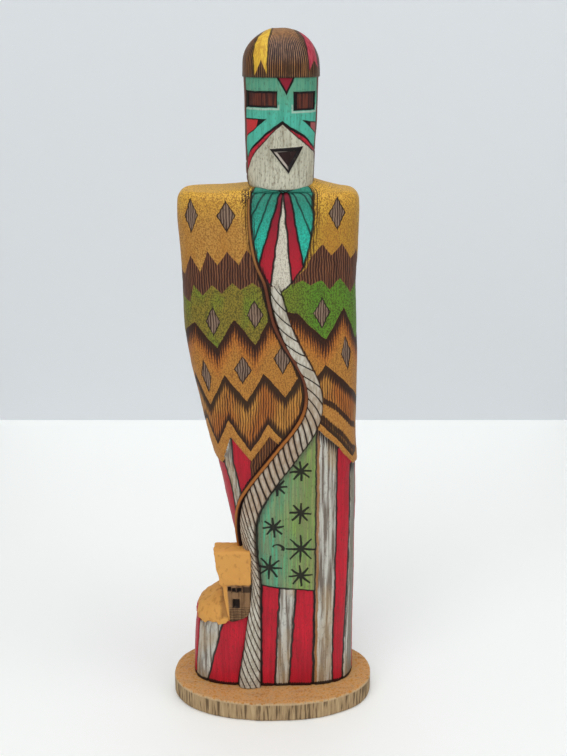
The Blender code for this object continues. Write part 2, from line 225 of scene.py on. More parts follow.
class Finish:
    """A material in the making: its places on the piece, its wood grain, and its shader."""

    def __init__(self, name):
        self.material = bpy.data.materials.new(name)
        self.material.use_nodes = True
        self.tree = self.material.node_tree
        self.place = self.tree.nodes.new("ShaderNodeTexCoord").outputs["Object"]
        self.grain = placed(wood_grain, self.tree, Place=self.place)

    def position(self):
        """The three object coordinates in millimetres."""
        parts = self.tree.nodes.new("ShaderNodeSeparateXYZ")
        feed(parts.inputs[0], self.place)
        return [Varying(socket) * 1000 for socket in parts.outputs]

    def spread(self):
        """The two values of the piece's own UV map."""
        uv = self.tree.nodes.new("ShaderNodeUVMap")
        uv.uv_map = "pattern"
        parts = self.tree.nodes.new("ShaderNodeSeparateXYZ")
        feed(parts.inputs[0], uv.outputs[0])
        return Varying(parts.outputs[0]), Varying(parts.outputs[1])

    def pattern(self):
        """How far round the piece, and how high, in millimetres of the painted pattern."""
        across, up = self.spread()
        return (across - 0.5) * PATTERN_ROUND, up * PATTERN_HIGH

    def done(self, colour, roughness, relief, coat=0.0):
        """Joins colour, roughness and relief in millimetres to the shader."""
        shader = self.tree.nodes["Principled BSDF"]
        feed(shader.inputs["Base Color"], colour)
        feed(shader.inputs["Roughness"], roughness)
        shader.inputs["Specular IOR Level"].default_value = DULL_SHINE
        shader.inputs["Coat Weight"].default_value = coat
        shader.inputs["Coat Roughness"].default_value = COAT_ROUGHNESS
        bump = self.tree.nodes.new("ShaderNodeBump")
        bump.inputs["Distance"].default_value = 0.001
        feed(bump.inputs["Height"], relief)
        feed(shader.inputs["Normal"], bump.outputs[0])
        return self.material


DULL_SHINE = 0.14
COAT_ROUGHNESS = 0.35
PATTERN_ROUND = 240
PATTERN_HIGH = 300
ROUND_STEPS = 1440


def outline_round(left, right, front, back, widest, squareness):
    """A rounded-square outline from the back's middle round the left, the front and the right.

    It gives x, y and the way gone, which is 0 on the front at x = 0."""
    turns = np.linspace(0.5 * math.pi, 2.5 * math.pi, ROUND_STEPS + 1)
    across, along = np.cos(turns), np.sin(turns)
    reach = (abs(across) ** squareness + abs(along) ** squareness) ** (-1 / squareness)
    x = (left + right) / 2 + reach * across * (right - left) / 2
    y = widest + reach * along * np.where(along > 0, back - widest, widest - front)
    gone = np.concatenate([[0], np.cumsum(np.hypot(np.diff(x), np.diff(y)))])
    facing = slice(ROUND_STEPS // 4, 3 * ROUND_STEPS // 4)
    return x, y, gone - np.interp(0, x[facing], gone[facing])


def ring(outline, count, height):
    """Points at a height on an outline, as many as the sheet has columns, and the first again."""
    x, y, _ = outline
    spots = np.linspace(0, ROUND_STEPS, count + 1).astype(int)
    return np.stack([x[spots], y[spots], np.full(len(spots), height)], axis=-1)


def rolled(name, places, pattern_places):
    """A flat grid rolled up into a closed piece, with its places in metres."""
    rows, columns = places.shape[0] - 1, places.shape[1] - 1
    sheet = bmesh.new()
    bmesh.ops.create_grid(sheet, x_segments=columns, y_segments=rows, size=0.5)
    flat = np.array([vert.co[:2] for vert in sheet.verts]) + 0.5
    row = np.rint(flat[:, 1] * rows).astype(int)
    column = np.rint(flat[:, 0] * columns).astype(int)
    corners = pattern_places[row, column].tolist()
    uv = sheet.loops.layers.uv.new("pattern")
    for face in sheet.faces:
        face.smooth = True
        for loop in face.loops:
            loop[uv].uv = corners[loop.vert.index]
    for vert, place in zip(sheet.verts, places[row, column].tolist()):
        vert.co = place
    open_verts = [vert for vert in sheet.verts if vert.is_boundary]
    bmesh.ops.remove_doubles(sheet, verts=open_verts, dist=2e-6)
    open_edges = [edge for edge in sheet.edges if edge.is_boundary]
    bmesh.ops.holes_fill(sheet, edges=open_edges, sides=0)
    return piece_from(name, sheet)


def piece_from(name, mesh):
    """A piece of the doll from a bmesh, with its faces turned outwards."""
    bmesh.ops.recalc_face_normals(mesh, faces=mesh.faces)
    data = bpy.data.meshes.new(name)
    mesh.to_mesh(data)
    mesh.free()
    piece = bpy.data.objects.new(name, data)
    bpy.context.scene.collection.objects.link(piece)
    return piece


def uneven(places, grain_size, amount, seed):
    """Random unevenness of points in millimetres, for a hand-cut surface.

    Each named setting of it says how far apart its bumps are, how high, and which seed they have."""
    flat = places.reshape(-1, 3) / grain_size
    lift = [noise.noise(Vector(point) + Vector((seed, seed * 2, seed * 3))) for point in flat.tolist()]
    return np.array(lift).reshape(places.shape[:-1]) * amount


def make_slab():
    """The slab from the middle of its underside out, up its side and in to the middle of its top."""
    side = np.linspace(0.9, slab_thickness - 0.5, SLAB_SIDE_ROWS)
    profile = [(0, 40), (0, 25), (0, 12), (0, 4), (0, 0.9), (0.3, 0.3)]
    profile += [(height, 0.0) for height in side]
    profile += [(slab_thickness - 0.15, 0.2), (slab_thickness, 0.75), (slab_thickness, 1.3)]
    profile += [(slab_thickness, inset) for inset in (2.2, 4, 7, 12, 18, 25, 40)]
    grid = []
    for height, inset in profile:
        half_width = max(slab_width / 2 - inset, 0)
        half_depth = max(slab_depth / 2 - inset, 0)
        outline = outline_round(-half_width, half_width, -half_depth, half_depth, 0, SLAB_ROUNDNESS)
        grid.append(ring(outline, SLAB_COLUMNS, height))
    grid = np.array(grid)
    radius = np.hypot(grid[..., 0], grid[..., 1])[..., None] + 1e-6
    outward = np.concatenate([grid[..., :2], grid[..., :1] * 0], axis=-1) / radius
    on_side = np.clip(1 - np.array([inset for _, inset in profile]) / 4, 0, 1)[:, None]
    fibres = -abs(uneven(grid * (1, 1, 0.08), *SIDE_FIBRE_RIDGES))
    wobble = uneven(grid * (1, 1, 0.25), *SAW_WOBBLE)
    grid += outward * ((fibres + wobble) * on_side)[..., None]
    grid[:, -1] = grid[:, 0]
    grid[0], grid[-1] = grid[0].mean(axis=0), grid[-1].mean(axis=0)
    return rolled("slab", grid / 1000, grid[..., :2] / 100)


TOP_STAIN = paint(176, 110, 44)
TOP_CLOUDS = paint(204, 144, 68)
TOP_GRAIN = paint(150, 96, 48)
TOP_PORES = paint(120, 80, 45)
SIDE_WOOD = paint(140, 114, 84)
SIDE_FIBRES = paint(198, 170, 128)
SIDE_SPLITS = paint(84, 66, 48)
SIDE_RIDGES = paint(206, 180, 140)
LIP = paint(222, 192, 150)


def slab_finish():
    """Stained top with fine grain across it, and a side of grey-brown end fibres with dark splits."""
    finish = Finish("bare sawn wood")
    _, _, z = finish.position()
    grain = finish.grain
    across_grain = mottle(finish.place, 420, (0.16, 1, 1), 4)
    clouds = mottle(finish.place, 55, (1, 1, 1), 3)
    top = over(TOP_STAIN, TOP_CLOUDS, clouds)
    top = over(top, TOP_GRAIN, past(across_grain, 0.60, 7) * 0.5)
    top = over(top, TOP_PORES, grain["Pores"] * 0.55)
    splits = mottle(finish.place, 900, (1, 1, 0.08), 3)
    side = over(SIDE_WOOD, SIDE_FIBRES, grain["Fibres"])
    side = over(side, SIDE_SPLITS, past(splits, 0.56, 9) * 0.8)
    side = over(side, SIDE_RIDGES, (1 - past(splits, 0.36, 9)) * 0.6)
    rim = covered(slab_thickness - 0.35 - z + (splits - 0.5) * 1.6, 0.5)
    colour = over(top, side, rim)
    lip = covered(0.55 - size_of(z - slab_thickness + 0.5), 0.6) * past(splits, 0.42, 5)
    colour = over(colour, LIP, lip * 0.55)
    relief = grain["Fibres"] * 0.16 + across_grain * 0.12
    return finish.done(colour, 0.72 + grain["Fibres"] * 0.12, relief)


slab = make_slab()
slab.data.materials.append(slab_finish())
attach(slab, "root")
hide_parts("base")

# The robe: the wrapped body, carved in one from a straight root and squared off at the shoulders.
# Bands of zigzags are burned into its front with a hot point, then washed with thin stains.
# Below the hems and inside the bib it is cut back by a millimetre.
figure_low, figure_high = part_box("figure")
DRAWN_FOOT = 9.8
DRAWN_HEIGHT = 290.2
DRAWN_WIDTH = 78.4
tall = (figure_high.z - figure_low.z) / DRAWN_HEIGHT
wide = (figure_high.x - figure_low.x) / DRAWN_WIDTH
ROBE_LEFT = [
    (9.8, -39), (24, -38.4), (35, -37.6), (40, -36.8), (43.5, -35), (47, -29), (51, -22), (56, -17.4),
    (68, -16.6), (77, -16.9), (92, -19.9), (102, -22), (112, -23.8), (122, -26), (141, -30.2),
    (159, -34.2), (177, -37), (186, -37.8), (200, -37.7), (212, -38.1), (225, -38.9), (238, -38.9),
]
ROBE_RIGHT = [
    (9.8, 39.4), (24, 39.2), (77, 39.2), (97, 39.2), (117, 38.8), (131, 37.8), (159, 37.6),
    (186, 36.6), (200, 36.3), (225, 36.9), (238, 36.5),
]
ROBE_FRONT = -15.3
ROBE_BACK = 20.0
ROBE_WIDEST = 6.0
ROBE_SQUARENESS = 3.2
ROBE_TOP = 238.0
SHOULDER_ROUNDING = 4.5
FRONT_SHOULDER_SHARE = 0.45
COLLAR = (-8.6, 16.8, -13.2, 14.9, 2.4)
COLLAR_TOP = 240.4
COLLAR_RISE_RIGHT = 1.5
COLLAR_DROP_LEFT = 0.7
COLLAR_HOLLOW = 1.4
COLLAR_DRAWN = (240.6, 264.6)
ROBE_COLUMNS = 236
ROBE_ROWS = 352
ROUNDING_ROWS = 12
COLLAR_ROWS = 14
ROBE_SEEN = (0.195, 0.805)
ROBE_SEEN_COLUMNS = 0.76
ROBE_STEP = 1.0
ROBE_WAVES = (16, 0.35, 3)
ROBE_FACETS = (4, 0.10, 7)


def placed_in_metres(points):
    """Points of the drawing, in millimetres, at their place on the doll."""
    height = figure_low.z + (points[..., 2] - DRAWN_FOOT) * tall
    return np.stack([points[..., 0] * wide, points[..., 1] * tall, height], axis=-1)


def curved(points, at):
    """Values at places on a smooth curve through points of (place, value)."""
    places, values = np.array(points, float).T
    order = np.argsort(places)
    places, values = places[order], values[order]
    slopes = np.empty_like(values)
    slopes[1:-1] = (values[2:] - values[:-2]) / (places[2:] - places[:-2])
    slopes[0] = (values[1] - values[0]) / (places[1] - places[0])
    slopes[-1] = (values[-1] - values[-2]) / (places[-1] - places[-2])
    start = np.clip(np.searchsorted(places, at, "right") - 1, 0, len(places) - 2)
    span = places[start + 1] - places[start]
    t = np.clip((at - places[start]) / span, 0, 1)
    return (
        values[start] * (1 + 2 * t) * (1 - t) ** 2 + values[start + 1] * t * t * (3 - 2 * t)
        + span * slopes[start] * t * (1 - t) ** 2 - span * slopes[start + 1] * t * t * (1 - t)
    )


def robe_outline(height, shrink=0.0):
    """The robe's outline at a height of the drawing, drawn in where the shoulders round over."""
    return outline_round(
        float(curved(ROBE_LEFT, height)) + shrink, float(curved(ROBE_RIGHT, height)) - shrink,
        ROBE_FRONT + shrink * FRONT_SHOULDER_SHARE, ROBE_BACK - shrink, ROBE_WIDEST, ROBE_SQUARENESS,
    )


def wrapped(points, outline_at):
    """Points of the drawing's front as places round a form, whose outline is known at each height."""
    facing = slice(ROUND_STEPS // 4, 3 * ROUND_STEPS // 4)
    places = []
    for across, height in points:
        x, _, gone = outline_at(height)
        places.append((float(np.interp(across, x[facing], gone[facing])), height))
    return places


def on_robe(points):
    return wrapped(points, lambda height: robe_outline(min(height, ROBE_TOP)))


def robe_rows():
    """Each row of the robe's sheet: its outline, its height, and its height on the painted pattern."""
    rows = []
    straight = ROBE_TOP - SHOULDER_ROUNDING
    for height in np.linspace(DRAWN_FOOT, straight, ROBE_ROWS):
        rows.append((robe_outline(height), height, height))
    for turn in np.linspace(0, math.pi / 2, ROUNDING_ROWS + 1)[1:-1]:
        height = straight + SHOULDER_ROUNDING * math.sin(turn)
        outline = robe_outline(height, SHOULDER_ROUNDING * (1 - math.cos(turn)))
        rows.append((outline, height, straight + SHOULDER_ROUNDING * turn))
    shoulder = (
        float(curved(ROBE_LEFT, ROBE_TOP)) + SHOULDER_ROUNDING,
        float(curved(ROBE_RIGHT, ROBE_TOP)) - SHOULDER_ROUNDING,
        ROBE_FRONT + SHOULDER_ROUNDING * FRONT_SHOULDER_SHARE,
        ROBE_BACK - SHOULDER_ROUNDING,
        ROBE_WIDEST,
    )
    for share in np.linspace(0, 1, COLLAR_ROWS):
        edges = [instead(a, b, share) for a, b in zip(shoulder, COLLAR)]
        height = instead(ROBE_TOP, COLLAR_TOP, share ** COLLAR_HOLLOW)
        drawn = instead(*COLLAR_DRAWN, share)
        rows.append((outline_round(*edges, ROBE_SQUARENESS), height, drawn))
    return rows


def sheet_of(rows, count, seen, seen_columns):
    """A sheet's points in millimetres, their outward directions, and their places on the pattern.

    The part of the way round that is seen gets a larger share of the columns."""
    columns = np.linspace(-1, 1, count + 1)
    grid, outward, pattern = [], [], []
    for (x, y, gone), height, drawn in rows:
        seen_from, seen_to = np.interp(seen, np.linspace(0, 1, len(gone)), gone)
        ends = (gone[0], seen_from, seen_to, gone[-1])
        at = np.interp(columns, (-1, -seen_columns, seen_columns, 1), ends)
        px, py = np.interp(at, gone, x), np.interp(at, gone, y)
        tx, ty = np.interp(at, gone, np.gradient(x, gone)), np.interp(at, gone, np.gradient(y, gone))
        grid.append(np.stack([px, py, np.full_like(px, height)], axis=-1))
        outward.append(np.stack([ty, -tx, tx * 0], axis=-1) / np.hypot(tx, ty)[:, None])
        pattern.append(np.stack([at, np.full_like(at, drawn)], axis=-1))
    return np.array(grid), np.array(outward), np.array(pattern)


def traced(points, along):
    """The value, at a varying place, of a straight-sided line through points of (place, value)."""
    points = sorted(points)
    if not isinstance(along, Varying):
        return np.interp(along, [p for p, _ in points], [v for _, v in points])
    low, high = points[0][0], points[-1][0]
    floor, roof = min(v for _, v in points), max(v for _, v in points)
    reach = max(roof - floor, 0.001)
    node = along.tree.nodes.new("ShaderNodeFloatCurve")
    curve = node.mapping.curves[0]
    for _ in points[2:]:
        curve.points.new(0.5, 0.5)
    for spot, (place, value) in zip(curve.points, points):
        spot.location = ((place - low) / (high - low), (value - floor) / reach)
        spot.handle_type = "VECTOR"
    node.mapping.update()
    feed(node.inputs["Value"], (along - low) / (high - low))
    return Varying(node.outputs[0]) * reach + floor


SIDE_AT = 45.0


def zigzag(points, back_swing, back_width, round_at):
    """The height of a zigzag line at places round the robe, which goes on evenly round the back."""
    held = least(most(round_at, -SIDE_AT), SIDE_AT)
    behind = most(size_of(round_at) - SIDE_AT, 0)
    return traced(points, held) + worked("PINGPONG", behind, back_width) * (back_swing / back_width)


GOLD_POINTS = [(-SIDE_AT, 206)] + on_robe([
    (-35.9, 203.9), (-33, 212.5), (-28.7, 206), (-25.9, 214.8), (-21.5, 209.4), (-17.8, 215),
    (-12.7, 209.5), (-9.8, 215.5), (-5, 210.5), (-3, 205), (9, 203), (14.5, 208), (16.5, 213),
    (21.3, 217.8), (24.8, 213), (29.3, 217.8), (33, 211), (35.5, 214.5),
]) + [(SIDE_AT, 206)]
DARK_POINTS = [(-SIDE_AT, 195)] + on_robe([
    (-34, 192.8), (-31.8, 200.5), (-28.4, 196), (-24, 201), (-20.3, 197.4), (-15.8, 202.2),
    (-12.2, 199.2), (-7.5, 202.2), (-3.5, 200), (6, 201), (10, 202), (13.5, 203.3), (16.2, 201),
    (20.8, 203.3), (24.3, 199), (28.5, 203.5), (33.3, 196.5), (35.5, 200),
]) + [(SIDE_AT, 195)]
GREEN_POINTS = [(-SIDE_AT, 176)] + on_robe([
    (-37, 170), (-32, 184.5), (-22.6, 174.2), (-15.3, 187), (-6.5, 176), (-0.7, 187), (5, 190),
    (10.5, 189.5), (23, 177.7), (30.2, 191), (36, 176),
]) + [(SIDE_AT, 176)]
AMBER_POINTS = [(-SIDE_AT, 148)] + on_robe([
    (-33, 161), (-26, 147.8), (-19.8, 162.5), (-10.2, 151), (-3.2, 163.3), (6, 153), (11.5, 161.5),
    (19.5, 162), (22.9, 167), (34.8, 154.4),
]) + [(SIDE_AT, 148)]
STRIPE_POINTS = [(-SIDE_AT, 128)] + on_robe([
    (-28, 141), (-23.4, 129), (-18.5, 142), (-9, 128), (-1.3, 140.7), (5.2, 133.5), (12, 140),
    (20.5, 141.5), (28, 133.5), (35.5, 123),
]) + [(SIDE_AT, 127)]
HEM_POINTS = [(-SIDE_AT, 119)] + on_robe([
    (-26, 124), (-21.5, 120.5), (-17.9, 134), (-8.8, 123.5), (-0.8, 135), (3.8, 130.5), (11, 134.5),
    (19.5, 138.5), (27, 131.5), (36, 119.5),
]) + [(SIDE_AT, 119)]
GOLD_BACK = (8, 5.5)
DARK_BACK = (7, 5.5)
GREEN_BACK = (12, 8)
AMBER_BACK = (12, 8)
STRIPE_BACK = (9, 7)
HEM_BACK = (0, 10)
DIAMONDS = [
    (-32.3, 228.8, 3.2, 6.6, 0), (-17.8, 229, 3.5, 6, 0), (27, 230, 3.6, 6.2, 0),
    (-24.1, 185.5, 3.1, 5.8, 0), (-6.5, 188.8, 3.2, 5.7, 0), (21.2, 189.5, 3.5, 6.1, 0),
    (-27.8, 161, 2.5, 6.7, -0.16), (-11.9, 165, 3.6, 6, 0), (4.9, 170, 3.5, 6.4, 0),
    (32, 171, 2.6, 7, -0.1),
]
RAY_LINE_DEPTH = 0.45
BAND_LINE_DEPTH = 0.10
DIAMOND_DEPTH = 0.3
STAR_DEPTH = 0.4
STRIPE_LINE_DEPTH = 0.38
PANEL_LINE_DEPTH = 0.35


def diamonds(round_at, height):
    """How far inside the nearest diamond: each has its middle, half width, half height and lean."""
    inside = []
    for across, middle, half_width, half_height, lean in DIAMONDS:
        (place, _), = on_robe([(across, middle)])
        rise = height - middle
        aside = size_of(round_at - place - rise * lean) / half_width
        inside.append((1 - aside - size_of(rise) / half_height) * half_width)
    return most(*inside)


BIB_LEFT = [(243, -7.6), (230, -8), (220, -7.2), (211, -5.4), (203.4, -2.9), (198.2, 4.4)]
BIB_RIGHT = [(243, 17), (228, 17.4), (218, 16.3), (208.6, 13.5), (202.5, 9), (198.2, 4.4)]
BIB_FOOT = 198.3
RED_RAYS = [
    ((4.2, 240), (-4.8, 209)), ((4.9, 236.5), (0, 201.5)),
    ((5.3, 236.5), (8.7, 201)), ((7.4, 240), (13.7, 207)),
]
THIN_RAYS = [
    ((-6.1, 239.2), (-8, 235)), ((-2.3, 239.2), (-7.8, 228.6)), ((0.8, 239.2), (-6.6, 219.4)),
    ((9.1, 239.2), (17.1, 219.9)), ((12.4, 239.2), (17.4, 231.8)), ((14.9, 239.2), (17.4, 235.4)),
]


def beside(line, round_at, height):
    """How far a place lies to the right of a line drawn downwards, in millimetres."""
    (x0, z0), (x1, z1) = on_robe(line)
    length = math.dist((x0, z0), (x1, z1))
    return (height - z0) * ((x1 - x0) / length) + (round_at - x0) * ((z0 - z1) / length)


def side_line(points, height):
    """The place round the robe of an upright line, given as (height, distance from the middle)."""
    places = on_robe([(across, level) for level, across in points])
    return traced([(level, place) for place, level in places], height)


def in_bib(round_at, height):
    """How far inside the bib's edge."""
    left, right = side_line(BIB_LEFT, height), side_line(BIB_RIGHT, height)
    return least(round_at - left, right - round_at, height - BIB_FOOT)


PIPING_PATH = [
    (-8.5, 236), (-8.7, 230), (-7.9, 219), (-5.9, 209.5), (-2.6, 202), (-1, 194.5), (1.2, 185),
    (5.6, 175.5), (10.6, 167.5), (13.9, 160), (14.9, 152.5), (13.6, 145.5), (9.7, 138.2),
    (3.6, 130.2), (-3.6, 120.6), (-9.6, 112), (-13.8, 104), (-15.4, 95.5), (-15, 85), (-13.1, 75),
    (-10.9, 67), (-9.6, 62.6),
]
ROPE_PATH = [
    (1.6, 200.8, 3.4), (2.6, 195, 5), (4.4, 188, 5.2), (7.2, 180, 5.4), (10.7, 172, 5.8),
    (14.4, 165, 6), (17.4, 158, 6.4), (18.6, 151, 6.8), (17.9, 144.5, 7.4), (14.9, 137.5, 8),
    (10.2, 130.8, 8.6), (4.6, 123.2, 9), (-0.7, 116.2, 9.2), (-5.3, 109, 9.2), (-8.8, 101.6, 8.6),
    (-10.6, 93, 7.6), (-10.4, 84, 6.8), (-9.4, 76, 5.6), (-7.7, 68, 4.2), (-7.2, 61, 4.2),
    (-7.8, 52, 5), (-8.6, 40, 6.8), (-9.3, 28, 8.2), (-10.2, 18, 9.6), (-10.6, DRAWN_FOOT, 10.4),
]
STARS = [
    (12.8, 118.5, 5), (2.5, 111, 4.5), (12.8, 98.5, 5), (0.7, 91.5, 5), (13, 81, 7), (-1.3, 71.5, 6),
    (13, 67.5, 5.5),
]
RAY_WIDTH = 0.72
RAY_TAPER = 0.055
CURL = (2.6, 81.2, 2.4)
CURL_WIDTH = 0.55
PANEL_FOOT = [(-6, 62.3), (19.5, 59.8)]
PANEL_RIGHT = 19.7


def rope_right_edge():
    """Where the rope's right edge lies on the robe, as (height, place round the robe)."""
    path = np.array(ROPE_PATH)
    ahead = np.gradient(path[:, :2], axis=0)
    ahead /= np.hypot(ahead[:, 0], ahead[:, 1])[:, None]
    edge = path[:, :2] + np.stack([-ahead[:, 1], ahead[:, 0]], axis=-1) * path[:, 2:] / 2
    return [(height, place) for place, height in on_robe(edge.tolist())]


def stars(round_at, height):
    """How far inside the nearest ray of the burned stars, each of eight strokes that taper outwards."""
    inside = []
    for number, (across, middle, reach) in enumerate(STARS):
        aside, rise = round_at - across, height - middle
        away = worked("SQRT", aside * aside + rise * rise)
        turned = worked("ARCTAN2", rise, aside) + (4 * math.pi + 0.09 * (number % 3 - 1))
        off_ray = worked("PINGPONG", turned, math.pi / 8)
        stroke = RAY_WIDTH - away * RAY_TAPER - away * off_ray
        inside.append(least(stroke, reach - away))
    aside, rise = round_at - CURL[0], height - CURL[1]
    away = worked("SQRT", aside * aside + rise * rise * 1.7)
    stroke = aside * 0.08 + CURL_WIDTH - size_of(away - CURL[2])
    inside.append(least(stroke, rise + aside * 0.4 + 0.3))
    return most(*inside)


# Each stripe: its left and right edge at the foot, then at its upper end, and that end's height
RED_STRIPES = [
    (-4.8, 1.0, -4.8, 3.2, 60), (8, 19, 11, 19.2, 60), (28.7, 33.6, 29.4, 35.8, 90),
    (-31, -16.6, -23, -11, 42), (-46, -37.4, -46, -34.4, 42),
]


def between(edges, round_at, height):
    """How far inside a stripe whose sides lean."""
    left_foot, right_foot, left_end, right_end, end = edges
    (left_foot, _), (right_foot, _) = on_robe([(left_foot, DRAWN_FOOT), (right_foot, DRAWN_FOOT)])
    (left_end, _), (right_end, _) = on_robe([(left_end, end), (right_end, end)])
    risen = least((height - DRAWN_FOOT) / (end - DRAWN_FOOT), 1)
    left = risen * (left_end - left_foot) + left_foot
    right = risen * (right_end - right_foot) + right_foot
    return least(round_at - left, right - round_at)


LEFT_RED = [(135, -17.6), (122, -16.8), (112, -14.8), (105.5, -13.4)]
LEFT_RED_END = [(135, -8.9), (123, -9), (115, -9.2), (105.5, -13.4)]
LEFT_RED_FOOT = 104
LEFT_EDGE_RED = [(130, -23), (121, -21.3), (110, -18.8), (100, -17.5), (92, -16.6), (62, -15)]


def skirt_lines(round_at, height):
    """How far inside the red stripes, under the star panel's foot and beside it."""
    foot = traced(on_robe(PANEL_FOOT), least(most(round_at, -6), PANEL_RIGHT))
    under_panel = foot - height
    inner = most(*[between(edges, round_at, height) for edges in RED_STRIPES[:2]])
    right = between(RED_STRIPES[2], round_at, height)
    mesa = least(most(*[between(edges, round_at, height) for edges in RED_STRIPES[3:]]), 50 - height)
    left = least(
        round_at - side_line(LEFT_RED, height),
        side_line(LEFT_RED_END, height) - round_at,
        height - LEFT_RED_FOOT,
    )
    edge = least(side_line(LEFT_EDGE_RED, height) - round_at, height - 60, round_at + 34)
    behind = worked("PINGPONG", most(size_of(round_at) - 41, 0), 8) - 4
    return most(least(inner, under_panel), right, mesa, left, edge, behind), under_panel


def robe_relief(round_at, height):
    """How far the carved and burned lines go in, in millimetres."""
    bib = in_bib(round_at, height)
    hem = zigzag(HEM_POINTS, *HEM_BACK, round_at) - height
    rays = np.full_like(round_at, -9.0)
    for line in RED_RAYS + THIN_RAYS:
        rays = np.maximum(rays, 0.75 - abs(beside(line, round_at, height)))
    red, under_panel = skirt_lines(round_at, height)
    cut = ROBE_STEP * covered(bib, 0.5) + RAY_LINE_DEPTH * covered(rays, 0.7) * covered(bib, 0.5)
    cut += ROBE_STEP * covered(hem, 0.5)
    cut += DIAMOND_DEPTH * covered(diamonds(round_at, height), 0.5)
    below = covered(hem - 0.5, 0.5)
    on_panel = covered(PANEL_RIGHT - round_at, 0.5) * covered(-under_panel, 0.5)
    beside_rope = covered(PANEL_RIGHT - round_at) * covered(round_at + 5)
    cut += STAR_DEPTH * covered(stars(round_at, height), 0.6) * below * on_panel
    cut += STRIPE_LINE_DEPTH * covered(0.55 - abs(red), 0.6) * below * (1 - on_panel)
    cut += PANEL_LINE_DEPTH * covered(0.5 - abs(under_panel), 0.5) * beside_rope
    cut += PANEL_LINE_DEPTH * covered(0.5 - abs(round_at - PANEL_RIGHT), 0.5) * below
    for points in (GOLD_POINTS, DARK_POINTS, GREEN_POINTS, AMBER_POINTS, STRIPE_POINTS):
        swing = 9 if points is STRIPE_POINTS else 8
        line = abs(zigzag(points, swing, 7, round_at) - height)
        cut += BAND_LINE_DEPTH * covered(0.5 - line, 0.5) * (1 - below) * (1 - covered(bib, 0.5))
    return cut


def make_robe():
    """The robe's sheet with its carving cut in and a slight hand-cut unevenness."""
    grid, outward, pattern = sheet_of(robe_rows(), ROBE_COLUMNS, ROBE_SEEN, ROBE_SEEN_COLUMNS)
    cut = robe_relief(pattern[..., 0], pattern[..., 1])
    cut[-COLLAR_ROWS:] *= np.linspace(1, 0, COLLAR_ROWS)[:, None] ** 2
    lift = uneven(grid, *ROBE_WAVES) + uneven(grid, *ROBE_FACETS)
    lift[:, -1] = lift[:, 0]
    grid += outward * (lift - cut)[..., None]
    x, y, _ = np.moveaxis(grid[-COLLAR_ROWS:], -1, 0)
    rise = COLLAR_RISE_RIGHT * np.clip((x - 10) / 8, 0, 1) * np.clip((y + 9) / 7, 0, 1)
    rise -= COLLAR_DROP_LEFT * np.clip((-2 - x) / 7, 0, 1)
    grid[-COLLAR_ROWS:, :, 2] += rise * np.linspace(0, 1, COLLAR_ROWS)[:, None]
    corners = pattern / (PATTERN_ROUND, PATTERN_HIGH) + (0.5, 0)
    return rolled("robe", placed_in_metres(grid), corners)


def make_hatching():
    """Fine upright strokes burned side by side, in which each stroke wavers a little."""
    takes = [("Place", "Vector"), ("Round", "Float"), ("Pitch", "Float")]
    tree, result, source = new_group("burned hatching", takes, ["Strokes"])
    sway = mottle(source["Place"], 160, (1, 1, 0.25), 2) * 1.3
    broken = mottle(source["Place"], 900, (1, 1, 0.12), 2)
    phase = (Varying(source["Round"]) + sway) / Varying(source["Pitch"])
    strokes = worked("PINGPONG", phase, 0.5) * 2
    feed(result.inputs["Strokes"], strokes * 0.9 + broken * 0.8 - 0.35)
    return tree


hatching = make_hatching()
HATCH_PITCH = 1.1
INK = paint(20, 12, 14)
BURNT = paint(42, 22, 20)
CHOCOLATE = paint(146, 94, 64)
OCHRE = paint(196, 146, 70)
GOLD = paint(196, 154, 54)
SHOULDER_GOLD_PAINTED_LIGHT = paint(232, 182, 70)
GOLD_SPECKS = paint(128, 82, 38)
GOLD_CLOUDS = paint(176, 118, 48)
CHAIN_BROWN = paint(150, 84, 46)
OLIVE = paint(140, 124, 46)
GRASS = paint(92, 138, 40)
GRASS_CLOUDS = paint(100, 140, 40)
GREEN_SPECKS = paint(66, 62, 28)
RUST = paint(196, 108, 40)
TAN = paint(186, 128, 56)
TAN_SPECKS = paint(112, 66, 32)
HONEY_BROWN = paint(184, 108, 44)
HONEY_GOLD = paint(204, 142, 64)
STRIPE_TAN = paint(190, 134, 62)
STRIPE_SPECKS = paint(168, 110, 50)
DIAMOND_WOOD = paint(152, 126, 106)
BAND_TOP = [(21, 151), (28, 146), (33, 140), (34.7, 137.4), (38, 131)]
BAND_FOOT = [(21, 145.8), (26, 140.7), (31, 136), (34.7, 129.5), (38, 124)]


def burned(coat, burn, strokes, black_from, share):
    """A coat burned in strokes, which run together and turn black where it is burned deeply."""
    streaky = least(most(burn * 2.2 - (1 - strokes) * 1.25, 0), 1)
    return over(coat, over(BURNT, INK, covered((burn - black_from) * 4, 1)), streaky * share)


